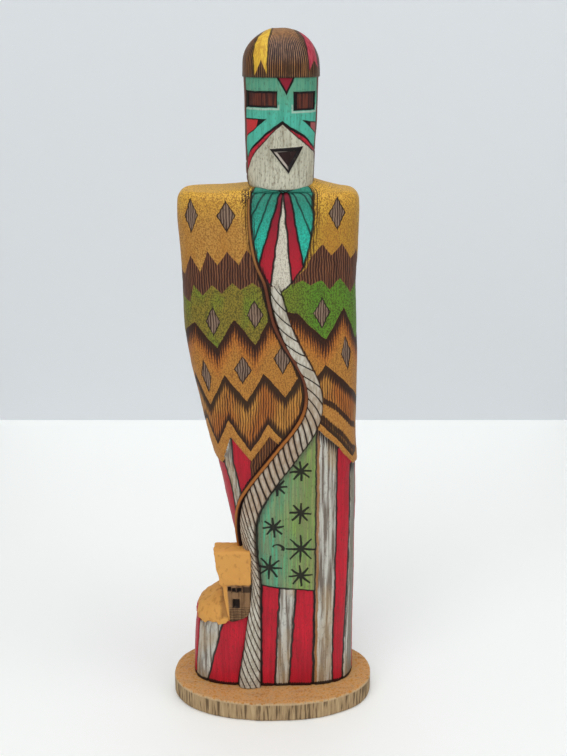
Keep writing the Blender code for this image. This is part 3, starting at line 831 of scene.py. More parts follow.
def blanket_paint(round_at, height, patches, speckle):
    """The blanket's stains, band under band, with painted light on the gold towards the shoulders, and
    how deeply each band is burned.
    """
    to_right = covered(round_at - 8, 20)
    coat = over(OCHRE, GOLD, to_right)
    # Paler gold towards the tops of the shoulders: painted light from above.
    coat = over(coat, SHOULDER_GOLD_PAINTED_LIGHT, covered(height - 231, 14))
    coat = over(coat, GOLD_SPECKS, past(speckle, 0.52, 8) * 0.75)
    clouds = (1 - past(patches, 0.5, 6)) * covered(232 - height, 30)
    coat = over(coat, GOLD_CLOUDS, clouds * 0.6)

    below_gold = zigzag(GOLD_POINTS, *GOLD_BACK, round_at) - height
    coat = over(coat, CHOCOLATE, covered(below_gold, 0.35))
    wave = worked("PINGPONG", round_at + 3, 6) * 1.5
    chain = least(size_of(wave + 200.5 - height), size_of(210 - wave - height))
    in_chain = covered(0.32 - chain, 0.4) * covered(below_gold - 0.5, 0.5)
    coat = over(coat, CHAIN_BROWN, in_chain * 0.55)
    burn = covered(below_gold, 0.3) * 0.64

    in_green = covered(zigzag(DARK_POINTS, *DARK_BACK, round_at) - height, 0.35)
    green = over(OLIVE, GRASS, to_right)
    green = over(green, GRASS_CLOUDS, past(patches, 0.56, 8) * 0.6)
    green = over(green, GREEN_SPECKS, past(speckle, 0.52, 8) * 0.75)
    coat = over(coat, green, in_green)
    burn = instead(burn, 0.14, in_green)

    below_green = zigzag(GREEN_POINTS, *GREEN_BACK, round_at) - height
    in_tan = covered(below_green, 0.35)
    tan = over(RUST, TAN, covered(below_green - 9, 12))
    tan = over(tan, TAN_SPECKS, past(speckle, 0.54, 8) * 0.6)
    coat = over(coat, tan, in_tan)
    burn = instead(burn, most(1.15 - below_green / 11, 0.12), in_tan)

    below_tan = zigzag(AMBER_POINTS, *AMBER_BACK, round_at) - height
    in_honey = covered(below_tan, 0.3)
    coat = over(coat, over(HONEY_BROWN, HONEY_GOLD, past(patches, 0.5, 6)), in_honey)
    stripe = zigzag(STRIPE_POINTS, *STRIPE_BACK, round_at) - height
    near_stripe = most(stripe / 7.6 + 1.14, 0)
    burn = instead(burn, most(1.26 - below_tan / 8, near_stripe, 0.5), in_honey)

    right_band = least(
        traced(on_robe(BAND_TOP), round_at) - height,
        height - traced(on_robe(BAND_FOOT), round_at),
        round_at - 19,
    )
    on_front = covered(42 - round_at, 5)
    in_stripe = most(covered(stripe, 0.3), covered(right_band, 0.3) * on_front)
    coat = over(coat, over(STRIPE_TAN, STRIPE_SPECKS, past(speckle, 0.5, 6)), in_stripe)
    burn = instead(burn, 0.08, in_stripe)
    band_line = covered(1.6 - size_of(right_band + 1.3), 1.2) * covered(round_at - 20) * on_front
    burn = most(burn, band_line * 0.9)

    marks = diamonds(round_at, height)
    in_mark = covered(marks, 0.25)
    coat = over(coat, DIAMOND_WOOD, in_mark)
    mark_line = covered(0.32 - size_of(marks), 0.3)
    return coat, most(burn * (1 - in_mark), in_mark * 0.53, mark_line * 0.85)


WHITEWASH = paint(200, 198, 188)
BARE_STREAKS = paint(104, 90, 78)
YELLOWED = paint(176, 148, 108)
SCARLET = paint(206, 30, 50)
SCARLET_CLOUDS = paint(182, 28, 46)
SCARLET_STREAKS = paint(132, 26, 40)
SIDE_GREY = paint(112, 106, 92)
PANEL_TEAL = paint(92, 168, 128)
PANEL_GREEN = paint(132, 160, 84)
PANEL_FIBRES = paint(150, 140, 100)
PANEL_STREAKS = paint(84, 92, 74)
PAINTED_SHADE_BY_ROPE = paint(84, 84, 72)
PANEL_RIM = paint(158, 106, 54)
BROWN_WOOD = paint(150, 92, 46)


def skirt_paint(finish, round_at, height, hem, piping_at, right_of_rope):
    """The striped skirt with its panel of stars, painted shade beside the rope, and how deeply it is
    burned under the hem.
    """
    patches, fibres = finish.grain["Patches"], finish.grain["Fibres"]
    red, under_panel = skirt_lines(round_at, height)
    streaks = past(mottle(finish.place, 1000, (1, 1, 0.035), 3), 0.5, 6)
    coat = over(WHITEWASH, BARE_STREAKS, streaks * 0.9)
    coat = over(coat, YELLOWED, past(patches, 0.55, 8) * 0.5)
    scarlet = over(SCARLET, SCARLET_CLOUDS, past(patches, 0.45, 5))
    scarlet = over(scarlet, SCARLET_STREAKS, streaks * 0.3)
    coat = over(coat, scarlet, covered(red, 0.25))
    coat = over(coat, INK, covered(0.5 - size_of(red + 0.2), 0.3) * 0.92)
    right_side = least(round_at - 38.4, 44 - round_at)
    coat = over(coat, SIDE_GREY, covered(right_side, 0.8) * 0.8)

    panel = least(PANEL_RIGHT - round_at, -under_panel)
    leafy = over(PANEL_TEAL, PANEL_GREEN, covered(patches * 30 - 18 + round_at - 5, 14))
    leafy = over(leafy, PANEL_FIBRES, past(fibres, 0.50, 7) * 0.5)
    leafy = over(leafy, PANEL_STREAKS, past(streaks, 0.3, 2) * 0.35)
    # Grey-brown painted shade on the panel beside the raised rope.
    leafy = over(leafy, PAINTED_SHADE_BY_ROPE, covered(2.2 - right_of_rope, 2.4) * 0.6)
    leafy = over(leafy, INK, covered(stars(round_at, height), 0.25) * 0.95)
    coat = over(coat, leafy, covered(least(panel, right_of_rope + 3), 0.25))
    past_right = round_at - PANEL_RIGHT
    edge = least(size_of(past_right), most(size_of(under_panel), past_right, -7 - round_at))
    coat = over(coat, INK, covered(0.4 - edge, 0.3) * 0.9)
    coat = over(coat, PANEL_RIM, covered(0.5 - size_of(past_right - 0.9), 0.4) * 0.9)

    left_hatch = least(
        round_at - side_line(LEFT_RED_END, height), piping_at - round_at, height - LEFT_RED_FOOT,
    )
    coat = over(coat, BROWN_WOOD, covered(left_hatch, 0.3))
    on_white = 1 - 0.75 * covered(most(red, panel), 1)
    under_hem = covered(4.4 - hem, 7) * 0.8 * on_white
    return coat, most(covered(left_hatch, 0.3) * 0.62, under_hem)


TURQUOISE = paint(50, 196, 172)
TURQUOISE_SHADED_BY_CHIN = paint(56, 118, 98)
TURQUOISE_SPECKS = paint(36, 112, 96)
TURQUOISE_LINES = paint(22, 52, 46)
CRIMSON = paint(178, 34, 50)
CRIMSON_SHADED_BY_CHIN = paint(128, 30, 46)
IVORY = paint(216, 210, 192)
IVORY_SPECKS = paint(170, 160, 142)


def bib_paint(round_at, height, speckle):
    """The bib's rays: turquoise outside, then red, then white, with a line between each two, and
    painted shade under the chin.
    """
    rays = [beside(line, round_at, height) for line in RED_RAYS]
    thin_line = least(*[size_of(beside(line, round_at, height)) for line in THIN_RAYS])
    # The turquoise and the red darken towards the top: painted shade under the overhanging chin.
    turquoise = over(TURQUOISE, TURQUOISE_SHADED_BY_CHIN, covered(height - 228, 16) * 0.8)
    turquoise = over(turquoise, TURQUOISE_SPECKS, past(speckle, 0.5, 6) * 0.5)
    crimson = over(CRIMSON, CRIMSON_SHADED_BY_CHIN, covered(height - 222, 24))
    ivory = over(IVORY, IVORY_SPECKS, past(speckle, 0.55, 7) * 0.7)
    coat = over(turquoise, crimson, covered(least(rays[0], -rays[3]), 0.2))
    coat = over(coat, ivory, covered(least(rays[1], -rays[2]), 0.2))
    outside = most(-rays[0], rays[3])
    coat = over(coat, TURQUOISE_LINES, covered(0.36 - most(thin_line, -outside), 0.3) * 0.9)
    return over(coat, INK, covered(0.42 - least(*[size_of(ray) for ray in rays]), 0.3) * 0.95)


LEDGE_FOOT = [(-40, 43.5), (-34, 44.6), (-30, 43.2), (-26, 45), (-22, 43.6), (-12, 44.4)]
LEDGE_TAN = paint(196, 140, 72)
PORES = paint(60, 44, 36)


def robe_finish():
    """The whole of the robe's paint and burning, laid on from the wood up."""
    finish = Finish("burned and stained robe")
    round_at, height = finish.pattern()
    grain, place = finish.grain, finish.place
    round_at = unsteady(round_at, place, 210, 1.3)
    height = unsteady(height, place, 190, 1.5, (1, 1, 0.8))
    strokes = placed(hatching, finish.tree, Place=place, Round=round_at, Pitch=HATCH_PITCH)["Strokes"]
    speckle = mottle(place, 1900, (1, 1, 0.8), 2)
    coat, burn = blanket_paint(round_at, height, grain["Patches"], speckle)

    hem = zigzag(HEM_POINTS, *HEM_BACK, round_at) - height
    below = covered(hem, 0.3)
    piping_at = side_line([(z, x) for x, z in PIPING_PATH], height)
    right_of_rope = round_at - traced(rope_right_edge(), height)
    skirt, skirt_burn = skirt_paint(finish, round_at, height, hem, piping_at, right_of_rope)
    coat = over(coat, skirt, below)
    burn = instead(burn, skirt_burn, below)

    ledge_foot = traced(on_robe(LEDGE_FOOT), round_at)
    ledge_top = 70 - most(-38 - round_at, 0) * 1.7
    ledge = least(height - ledge_foot, -20 - round_at, ledge_top - height)
    coat = over(coat, LEDGE_TAN, covered(ledge, 0.3))

    bib = in_bib(round_at, height)
    in_the_bib = covered(bib, 0.2)
    coat = over(coat, bib_paint(round_at, height, speckle), in_the_bib)
    burn = most(burn * (1 - in_the_bib), covered(0.5 - size_of(bib), 0.4) * 0.85)
    burn = most(burn, covered(1.3 - size_of(bib + 1.4), 1.4) * covered(round_at - 8, 3) * 0.5)

    near_piping = covered(2.0 - size_of(round_at - piping_at), 0.8)
    near_piping = near_piping * covered(height - 62, 2) * covered(238 - height, 3)
    near_piping = near_piping * (1 - 0.5 * covered(height - 208, 8))
    near_rope = covered(0.7 - size_of(right_of_rope), 0.5) * covered(199 - height, 3)
    burn = most(burn, near_piping * 0.9, near_rope * 0.85, covered(11.3 - height, 0.8))
    at_collar = covered(2.6 - size_of(round_at + 9.2), 2) * covered(height - 231, 8)
    burn = most(burn, at_collar * covered((speckle - 0.4) * 4, 1) * 0.7)

    coat = burned(coat, burn, strokes, 0.75, 0.94)
    coat = over(coat, PORES, grain["Pores"] * 0.30)
    roughness = 0.52 + grain["Fibres"] * 0.12 - below * 0.10
    relief = strokes * 0.07 + grain["Fibres"] * 0.06 + speckle * 0.05
    return finish.done(coat, roughness, relief, 0.12)


robe = make_robe()
robe.data.materials.append(robe_finish())
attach(robe, "root")
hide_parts("figure")

# The piping and the rope sash: both stand up from the robe's front, carved in one with it.
# The piping is the rolled edge of the blanket, stained brown. The rope is painted greyish white,
# with its strands cut in and inked.
PIPING_WIDTHS = [(62, 2.1), (150, 2.2), (200, 2.0), (236, 1.3)]
PIPING_HEIGHT = 1.1
PIPING_STEPS = 420
PIPING_SIDES = 20
PIPING_SUNK = 0.3
PIPING_FACETS = (5, 0.35, 9)
ROPE_HEIGHT = 1.6
ROPE_STEPS = 640
ROPE_SIDES = 36
ROPE_SUNK = 0.5
ROPE_FACETS = (4, 0.2, 11)
VALLEY_DEPTH = 0.55
VALLEY_WIDTH = 0.55
MOST_STRANDS = 60
STRAND_LINE = 0.46
STRAND_PITCH = [
    (235, 7), (200, 7), (160, 7), (148, 5), (135, 3.6), (110, 3.6), (90, 4), (60, 5), (9.8, 5.5),
]
STRAND_SHIFT = [
    (235, 9.4), (200, 9.4), (165, 9.4), (150, 9.7), (138, 8), (112, 7), (98, 14), (85, 22), (60, 16),
    (40, 17), (9.8, 21),
]


def robe_front(x, height):
    """How far forward the robe's front is at places of the drawing."""
    left, right = curved(ROBE_LEFT, height), curved(ROBE_RIGHT, height)
    share = np.clip(abs(x - (left + right) / 2) / ((right - left) / 2), 0, 0.98)
    forward = (1 - share ** ROBE_SQUARENESS) ** (1 / ROBE_SQUARENESS)
    return ROBE_WIDEST - (ROBE_WIDEST - ROBE_FRONT) * forward


def smooth_line(points, count):
    """Evenly spread places on a smooth line through points, with any values after their x and z."""
    points = np.array(points, float)
    steps = np.hypot(*np.diff(points[:, :2], axis=0).T)
    knots = np.concatenate([[0], np.cumsum(steps)])
    at = np.linspace(0, knots[-1], count)
    return at, np.stack([curved(list(zip(knots, column)), at) for column in points.T], axis=-1)


def lying_on_robe(path, widths, proud, sink, sides):
    """A roll on the robe along a path.

    It gives its points, its outward directions and the share of its width of each column of points.
    """
    x, z = path[:, 0], path[:, 1]
    middle = np.stack([x, robe_front(x, z) + sink, z], axis=-1)
    ahead = np.gradient(middle, axis=0)
    ahead[z < DRAWN_FOOT + 0.05] = (0, 0, -1)
    ahead /= np.linalg.norm(ahead, axis=1)[:, None]
    slope = robe_front(x + 0.5, z) - robe_front(x - 0.5, z)
    outward = np.stack([slope, -np.ones_like(x), x * 0], axis=-1)
    outward -= (outward * ahead).sum(axis=1)[:, None] * ahead
    outward /= np.linalg.norm(outward, axis=1)[:, None]
    across = np.cross(ahead, outward)
    turns = np.linspace(-math.pi / 2, 1.5 * math.pi, sides + 1)
    aside = np.cos(turns)[None, :, None] * (widths / 2)[:, None, None]
    rise = np.sin(turns)[None, :, None] * (proud + sink)
    grid = middle[:, None] + across[:, None] * aside + outward[:, None] * rise
    return grid, outward, 0.5 + np.cos(turns) / 2


def make_piping():
    """The blanket's rolled edge, from the collar to the tower, a little uneven from the knife."""
    at, path = smooth_line(PIPING_PATH, PIPING_STEPS)
    widths = np.interp(path[:, 1], *zip(*PIPING_WIDTHS))
    grid, outward, share = lying_on_robe(path, widths, PIPING_HEIGHT, PIPING_SUNK, PIPING_SIDES)
    grid += outward[:, None] * uneven(grid, *PIPING_FACETS)[..., None]
    grid[:, -1] = grid[:, 0]
    corners = np.stack(np.broadcast_arrays(share[None, :], at[:, None] / PATTERN_HIGH), axis=-1)
    return rolled("piping", placed_in_metres(grid), corners)


def make_rope():
    """The rope, with a valley between strands that slant across it."""
    at, path = smooth_line(ROPE_PATH, ROPE_STEPS)
    _, z, widths = path.T
    pitch, shift = curved(STRAND_PITCH, z), curved(STRAND_SHIFT, z)
    grid, outward, share = lying_on_robe(path, widths, ROPE_HEIGHT, ROPE_SUNK, ROPE_SIDES)
    strand = np.concatenate([[0], np.cumsum(np.diff(at) / pitch[1:])])
    phase = strand[:, None] - (0.5 - share[None, :]) * (shift / pitch)[:, None]
    valley = abs((phase + 0.5) % 1 - 0.5)
    crown = np.sqrt(np.clip(4 * valley * (1 - valley), 0, 1))
    cut = VALLEY_DEPTH * np.exp(-(valley * pitch[:, None] / VALLEY_WIDTH) ** 2) + 0.25 * (1 - crown)
    grid -= outward[:, None] * (cut + uneven(grid, *ROPE_FACETS))[..., None]
    grid[:, -1] = grid[:, 0]
    corners = np.stack(np.broadcast_arrays(share[None, :], phase / MOST_STRANDS), axis=-1)
    return rolled("rope_sash", placed_in_metres(grid), corners)


PIPING_TOP = paint(112, 62, 40)
PIPING_COLLAR = paint(168, 116, 62)
PIPING_FOOT = paint(184, 112, 46)
PIPING_FIBRES = paint(72, 36, 24)


def piping_finish():
    """Brown stain, rubbed to gold on its crest and nearly black along both sides."""
    finish = Finish("brown piping")
    grain = finish.grain
    _, _, z = finish.position()
    crest = 1 - size_of(finish.spread()[0] - 0.5) * 2
    upper = over(PIPING_TOP, PIPING_COLLAR, covered(z - 206, 12))
    wood = over(PIPING_FOOT, upper, covered(z - 152 + (grain["Patches"] - 0.5) * 30, 16))
    wood = over(wood, PIPING_FIBRES, grain["Fibres"] * 0.5)
    colour = over(BURNT, wood, covered(crest - 0.42 + (grain["Fibres"] - 0.5) * 0.5, 0.4))
    return finish.done(colour, 0.5 + grain["Fibres"] * 0.1, grain["Fibres"] * 0.06, 0.1)


ROPE_WHITE = paint(204, 199, 184)
ROPE_WORN = paint(164, 154, 136)
ROPE_STAIN = paint(162, 118, 76)
ROPE_VALLEY_SHADE = paint(120, 78, 48)
ROPE_EDGES = paint(60, 42, 32)


def rope_finish():
    """Greyish white paint worn thin over the wood, with an inked line between the strands and painted
    brown shade beside it low down.
    """
    finish = Finish("painted rope")
    share, phase = finish.spread()
    phase = unsteady(phase * MOST_STRANDS, finish.place, 400, 0.07)
    _, _, z = finish.position()
    line = worked("PINGPONG", phase + 40, 0.5) * traced(STRAND_PITCH, z)
    low_down = covered(146 - z, 16)
    fine = mottle(finish.place, 900, (1, 1, 0.3), 3)
    colour = over(ROPE_WHITE, ROPE_WORN, past(fine, 0.5, 6) * 0.8)
    stain = past(finish.grain["Patches"], 0.45, 6) * covered(45 - size_of(z - 112), 30)
    colour = over(colour, ROPE_STAIN, stain * 0.42)
    # Brown painted shade in the valleys beside each strand line, on the lower rope.
    colour = over(colour, ROPE_VALLEY_SHADE, covered(1.0 - line, 1.2) * low_down * 0.42)
    colour = over(colour, INK, covered(low_down * 0.06 + STRAND_LINE - line, 0.25) * 0.92)
    colour = over(colour, ROPE_EDGES, covered(size_of(share - 0.5) - 0.455, 0.06) * 0.85)
    return finish.done(colour, 0.55 + fine * 0.15, fine * 0.10, 0.05)


for piece, finish in ((make_piping(), piping_finish()), (make_rope(), rope_finish())):
    piece.data.materials.append(finish)
    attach(piece, "root")
    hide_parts("figure")

# The mesa and the pueblo tower at the left foot: a rounded shelf of rock and a two-storey house
# on it, knifed from the same root and left in warm bare wood. The windows, the door and the lower
# wall are burned dark.
ROCK_LEFT = [(40, -36.2), (46, -35.4), (49.5, -33.2), (52, -30), (54.2, -26), (55.6, -21)]
ROCK_RIGHT = -6.0
ROCK_FRONT = -14.9
ROCK_BACK = 12.0
ROCK_WIDEST = -1.0
ROCK_SQUARENESS = 2.6
ROCK_FOOT = 43.9
ROCK_TOP = 55.6
ROCK_TURNS_AT = 45.0
ROCK_ROUNDING = 10.0
ROCK_CENTRE = (-21, -1, 40)
BEHIND_TOWER = -12.4
ROCK_LUMPS = (6, 0.6, 2)
ROCK_FACETS = (2, 0.25, 4)
ROCK_RAGS = (1.6, 2.2, 6)
RAGGED_ROWS = 5
ROCK_ROWS = 46
ROCK_COLUMNS = 240
TOWER_ROOF = (-26.4, 63.4, -9.6, 80.2)
TOWER_WALL = (-23.4, 44.4, -9.8, 64.4)
ROOF_LEAN = 2.6
WALL_LEAN = 3.8
WALL_CURVE = 4.2
WALL_CURVES_AT = 51.5
WALL_CURVE_POWER = 2.5
TOWER_DEPTH = 10.0
TOWER_FRONT = ROBE_FRONT + 0.3
ROOF_OVERHANG = 0.7
TOWER_EDGE_ROUNDING = 0.8
WINDOWS = [(-19.9, 60.4, -18.6, 62.3), (-17.9, 59.9, -16.5, 61.5), (-15.7, 59.9, -14, 61.6)]
DOOR = (-17.6, 52, -14.8, 56)
OPENING_DEPTH = 1.3
TOWER_DENTED = (3.2, 0.45)
TOWER_CUTS = (1.1, 0.08)
BLOCK_CUTS = 40


def make_mesa():
    """The shelf of rock, with a ragged lower edge where the paint of the skirt starts."""
    grid = []
    for height in np.linspace(ROCK_FOOT, ROCK_TOP, ROCK_ROWS):
        rise = max((height - ROCK_TURNS_AT) / (ROCK_TOP + 1 - ROCK_TURNS_AT), 0)
        round_off = ROCK_ROUNDING * (1 - math.sqrt(1 - rise ** 2))
        outline = outline_round(
            float(curved(ROCK_LEFT, height)), ROCK_RIGHT, ROCK_FRONT + round_off, ROCK_BACK - round_off,
            ROCK_WIDEST, ROCK_SQUARENESS,
        )
        grid.append(ring(outline, ROCK_COLUMNS, height))
    grid = np.array(grid)
    centre = np.array(ROCK_CENTRE)
    outward = (grid - centre) / np.linalg.norm(grid - centre, axis=-1)[..., None]
    grid += outward * (uneven(grid, *ROCK_LUMPS) + uneven(grid, *ROCK_FACETS))[..., None]
    no_nearer = np.interp(grid[..., 0], (-22.5, -19.5), (-30, BEHIND_TOWER))
    grid[..., 1] = np.maximum(grid[..., 1], no_nearer)
    ragged = np.clip(1 - np.arange(ROCK_ROWS) / RAGGED_ROWS, 0, 1)[:, None]
    grid[..., 2] += uneven(grid * (1, 1, 0), *ROCK_RAGS) * ragged
    grid[:, -1] = grid[:, 0]
    return rolled("mesa", placed_in_metres(grid), grid[..., :2] / 100)


def tower_block(name, box, front, lean_in, rounded_by, seed):
    """One storey of the tower. Its left side leans, its edges are eased and its faces are dented."""
    left, bottom, right, top = box
    block = bmesh.new()
    bmesh.ops.create_cube(block, size=2)
    bmesh.ops.subdivide_edges(block, edges=block.edges, cuts=BLOCK_CUTS, use_grid_fill=True)
    points = np.array([vert.co[:] for vert in block.verts])
    half = np.array([(right - left) / 2, TOWER_DEPTH / 2, (top - bottom) / 2])
    core = np.clip(points * half, TOWER_EDGE_ROUNDING - half, half - TOWER_EDGE_ROUNDING)
    aside = points * half - core
    away = np.maximum(np.linalg.norm(aside, axis=-1), 1e-6)[:, None]
    rounded = core + aside / away * TOWER_EDGE_ROUNDING
    middle = np.array([(left + right) / 2, front + TOWER_DEPTH / 2, (bottom + top) / 2])
    placed_at = rounded + middle
    lean = lean_in * (top - placed_at[:, 2]) / (top - bottom)
    placed_at[:, 0] += lean * (right - placed_at[:, 0]) / (right - left)
    dents = uneven(placed_at, *TOWER_DENTED, seed) + uneven(placed_at, *TOWER_CUTS, seed + 1)
    placed_at += aside / away * dents[:, None]
    along = np.clip((placed_at[:, 0] - left - lean_in) / (right - left - lean_in), 0, 1)
    share_left = np.clip((WALL_CURVES_AT - placed_at[:, 2]) / (WALL_CURVES_AT - bottom), 0, 1)
    placed_at[:, 2] += rounded_by * along ** WALL_CURVE_POWER * share_left
    x, y, z = placed_at.T
    for opening_left, opening_bottom, opening_right, opening_top in WINDOWS + [DOOR]:
        inside = least(x - opening_left, opening_right - x, z - opening_bottom, opening_top - z)
        facing = (aside[:, 1] / away[:, 0] < -0.7) & (y < front + 2)
        placed_at[:, 1] += OPENING_DEPTH * covered(inside, 0.3) * facing
    for vert, place in zip(block.verts, placed_in_metres(placed_at).tolist()):
        vert.co = place
    for face in block.faces:
        face.smooth = True
    return piece_from(name, block)


ROCK_WOOD = paint(204, 142, 68)
ROCK_CLOUDS = paint(226, 170, 92)
ROCK_DENTS = paint(168, 110, 54)
ROCK_DEEP_DENTS = paint(120, 76, 44)
ROCK_RED = paint(188, 40, 48)
ROCK_MARK = paint(90, 60, 50)
ROCK_PAINTED_SHADE = paint(96, 60, 40)
ROCK_RED_TO = (-34.6, 54.5)
ROCK_MARK_AT = (-31, 55)


def rock_finish():
    """Warm wood with knife dents, dark in its hollows, red where the skirt's paint runs on, and painted
    shade beside the tower.
    """
    finish = Finish("bare carved rock")
    x, _, z = finish.position()
    grain = finish.grain
    dents = mottle(finish.place, 480, (1, 1, 0.6), 2)
    colour = over(ROCK_WOOD, ROCK_CLOUDS, grain["Patches"])
    colour = over(colour, ROCK_DENTS, past(dents, 0.58, 8) * 0.45)
    colour = over(colour, ROCK_DEEP_DENTS, past(dents, 0.70, 12) * 0.4)
    red = least(ROCK_RED_TO[0] - x + (dents - 0.5) * 3, ROCK_RED_TO[1] - z)
    colour = over(colour, ROCK_RED, covered(red, 0.5))
    aside, above = x - ROCK_MARK_AT[0], z - ROCK_MARK_AT[1]
    mark = 1.4 - worked("SQRT", aside * aside + above * above * 2)
    colour = over(colour, ROCK_MARK, covered(mark + (dents - 0.5) * 2, 0.6) * 0.8)
    # Painted shade on the rock next to the tower.
    under = covered(least(x + 24, 60 - z, z - 46) + (dents - 0.5) * 2 - 0.6, 1.5)
    colour = over(colour, ROCK_PAINTED_SHADE, under * 0.5)
    relief = dents * 0.12 + grain["Fibres"] * 0.05
    return finish.done(colour, 0.62 + dents * 0.1, relief, 0.06)


TOWER_WOOD = paint(206, 144, 72)
TOWER_CLOUDS = paint(226, 168, 90)
TOWER_DENTS = paint(156, 100, 52)
SMOKED = paint(128, 100, 74)
SMOKED_FIBRES = paint(84, 62, 48)
STRIP_RIGHT = -19.1
STRIP_FOOT = 44
STRIP_LEAN = 0.061
SMOKE_TOP = 63.2
MASONRY_ROW = 0.84
MASONRY_TOP = 52
LINTEL_GAP = (-13.2, 59.6, 62.4)


def tower_finish():
    """The tower's wood, its lower wall smoked dark between a pale corner strip and the robe."""
    finish = Finish("burned tower wall")
    x, _, z = finish.position()
    grain = finish.grain
    dents = mottle(finish.place, 520, (1, 1, 0.7), 2)
    colour = over(TOWER_WOOD, TOWER_CLOUDS, grain["Patches"])
    colour = over(colour, TOWER_DENTS, past(dents, 0.64, 9) * 0.35)
    corner = x + (z - STRIP_FOOT) * STRIP_LEAN - STRIP_RIGHT
    in_smoke = covered(least(corner, SMOKE_TOP - z + (dents - 0.5) * 1.5), 0.6)
    colour = over(colour, over(SMOKED, SMOKED_FIBRES, past(grain["Fibres"], 0.5, 5)), in_smoke * 0.9)
    rows = worked("PINGPONG", z + dents * 0.5, MASONRY_ROW / 2)
    lines = covered(0.12 - rows, 0.12) * covered(MASONRY_TOP - z, 1) * covered(corner, 0.5)
    colour = over(colour, INK, lines * 0.85)
    openings = [
        least(x - left, right - x, z - bottom, top - z) for left, bottom, right, top in WINDOWS + [DOOR]
    ]
    colour = over(colour, INK, covered(most(*openings) + (dents - 0.5) * 1.2 + 0.3, 0.5) * 0.95)
    gap_left, gap_bottom, gap_top = LINTEL_GAP
    gap = least(x - gap_left, gap_top - z, z - gap_bottom)
    colour = over(colour, INK, covered(gap + (dents - 0.5), 0.5) * 0.8)
    edge = covered(0.3 - size_of(corner + 2.1), 0.3) * covered(62 - z, 1)
    colour = over(colour, BURNT, edge * 0.75)
    colour = over(colour, INK, covered(45.6 - z, 0.6) * 0.7)
    relief = dents * 0.12 + grain["Fibres"] * 0.05 - lines * 0.1
    return finish.done(colour, 0.62 + dents * 0.1, relief, 0.06)


mesa = make_mesa()
mesa.data.materials.append(rock_finish())
tower_paint = tower_finish()
roof = tower_block("tower_roof", TOWER_ROOF, TOWER_FRONT - ROOF_OVERHANG, ROOF_LEAN, 0, 21)
wall = tower_block("tower_wall", TOWER_WALL, TOWER_FRONT, WALL_LEAN, WALL_CURVE, 31)
for piece in (roof, wall):
    piece.data.materials.append(tower_paint)
for piece in (mesa, roof, wall):
    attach(piece, "root")
    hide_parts("figure")

# The head: a rounded block with a painted mask on its front. The eyes are cut in as two slots,
# the mouth stands up as a triangle, and most fields of paint have a burned line round them.
HEAD_LEFT = [(239, -9.1), (243, -9.9), (250, -10.1), (262, -10.4), (283, -10.7)]
HEAD_RIGHT = [(239, 17.5), (248, 17.9), (256, 18.2), (264, 18.7), (283, 19.2)]
HEAD_FRONT = -14.4
HEAD_BACK = 18.2
HEAD_MIDDLE = 2.4
HEAD_SQUARENESS = 2.6
CHIN = 239.4
BROW = 282.0
CHIN_ROUNDING = 1.2
UNDER_CHIN_INSETS = (9, 4, CHIN_ROUNDING)
HEAD_COLUMNS = 230
HEAD_ROWS = 150
HEAD_SEEN = (0.2, 0.8)
HEAD_SEEN_COLUMNS = 0.8
EYES = [(-9.5, 270.8, 2.8, 277), (9.2, 269.7, 17.9, 276.8)]
EYE_FLOORS = [(-9.3, 271.6, 2.4, 276.2), (11, 270.5, 17.5, 276)]
MOUTH = [(-0.2, 255.4), (12.9, 256.3), (7.2, 245.8)]
MOUTH_HEIGHT = 0.8
MOUTH_HOLLOW = 0.5
EYE_DEPTH = 0.9
ARC_LINE_DEPTH = 0.2
HEAD_WAVES = (9, 0.25, 13)
ARC_TOP_LEFT = [(-9.5, 254), (-9, 259.8), (-6.5, 262), (-4, 264.5), (-1.3, 266.8), (2, 268)]
ARC_LEFT = [
    (-9.6, 249), (-9, 252), (-8.3, 254), (-7, 256), (-5, 258), (-2, 261), (1, 263.3), (4.9, 265.8),
]
ARC_RIGHT = [(4.9, 265.8), (8, 263.5), (11, 262), (14, 260), (16, 257.5), (17.5, 255.5), (18.2, 253)]
CHEEK_LEFT = [
    (-9.6, 244), (-8.7, 248), (-7.5, 251.5), (-5.5, 254.5), (-2.5, 257.8), (1.5, 262), (4.9, 264.7),
]
CHEEK_RIGHT = [(4.9, 264.7), (8, 262), (11, 259.5), (14, 257), (16.5, 254.5), (18, 252), (18.4, 249)]


def head_outline(height, grow, dome=1.0):
    """The head's outline at a height, grown all round and drawn in by the dome's share."""
    left = float(curved(HEAD_LEFT, height)) - grow
    right = float(curved(HEAD_RIGHT, height)) + grow
    middle, half = (left + right) / 2, (right - left) / 2 * dome
    return outline_round(
        middle - half, middle + half, HEAD_MIDDLE - (HEAD_MIDDLE - HEAD_FRONT + grow) * dome,
        HEAD_MIDDLE + (HEAD_BACK - HEAD_MIDDLE + grow) * dome, HEAD_MIDDLE, HEAD_SQUARENESS,
    )


def on_head(points):
    return wrapped(points, lambda height: head_outline(height, 0))


def in_slot(box, round_at, height):
    """How far inside an upright box of the mask."""
    left, bottom, right, top = box
    (left, _), (right, _) = on_head([(left, bottom), (right, bottom)])
    return least(round_at - left, right - round_at, height - bottom, top - height)


def in_triangle(corners, round_at, height):
    """How far inside a triangle of the mask, whose corners go clockwise from the left."""
    corners = on_head(corners)
    sides = []
    for (x0, z0), (x1, z1) in zip(corners, corners[1:] + corners[:1]):
        length = math.dist((x0, z0), (x1, z1))
        sides.append((round_at - x0) * ((z1 - z0) / length) - (height - z0) * ((x1 - x0) / length))
    return least(*sides)


def under_arc(left, right, round_at, height):
    """How far under an arched line that runs down to both cheeks."""
    return traced(on_head(left[:-1]) + on_head(right), round_at) - height


def head_rows():
    """Each row of the head's sheet, from the middle of its underside up into the cap."""
    underside = [(CHIN, inset) for inset in UNDER_CHIN_INSETS]
    rounding = [
        (CHIN + CHIN_ROUNDING * (1 - math.cos(turn)), CHIN_ROUNDING * (1 - math.sin(turn)))
        for turn in np.linspace(0, math.pi / 2, 7)[1:-1]
    ]
    upright = [(height, 0) for height in np.linspace(CHIN + CHIN_ROUNDING, BROW + 1, HEAD_ROWS)]
    return [
        (head_outline(height, -inset), height, height)
        for height, inset in underside + rounding + upright
    ]


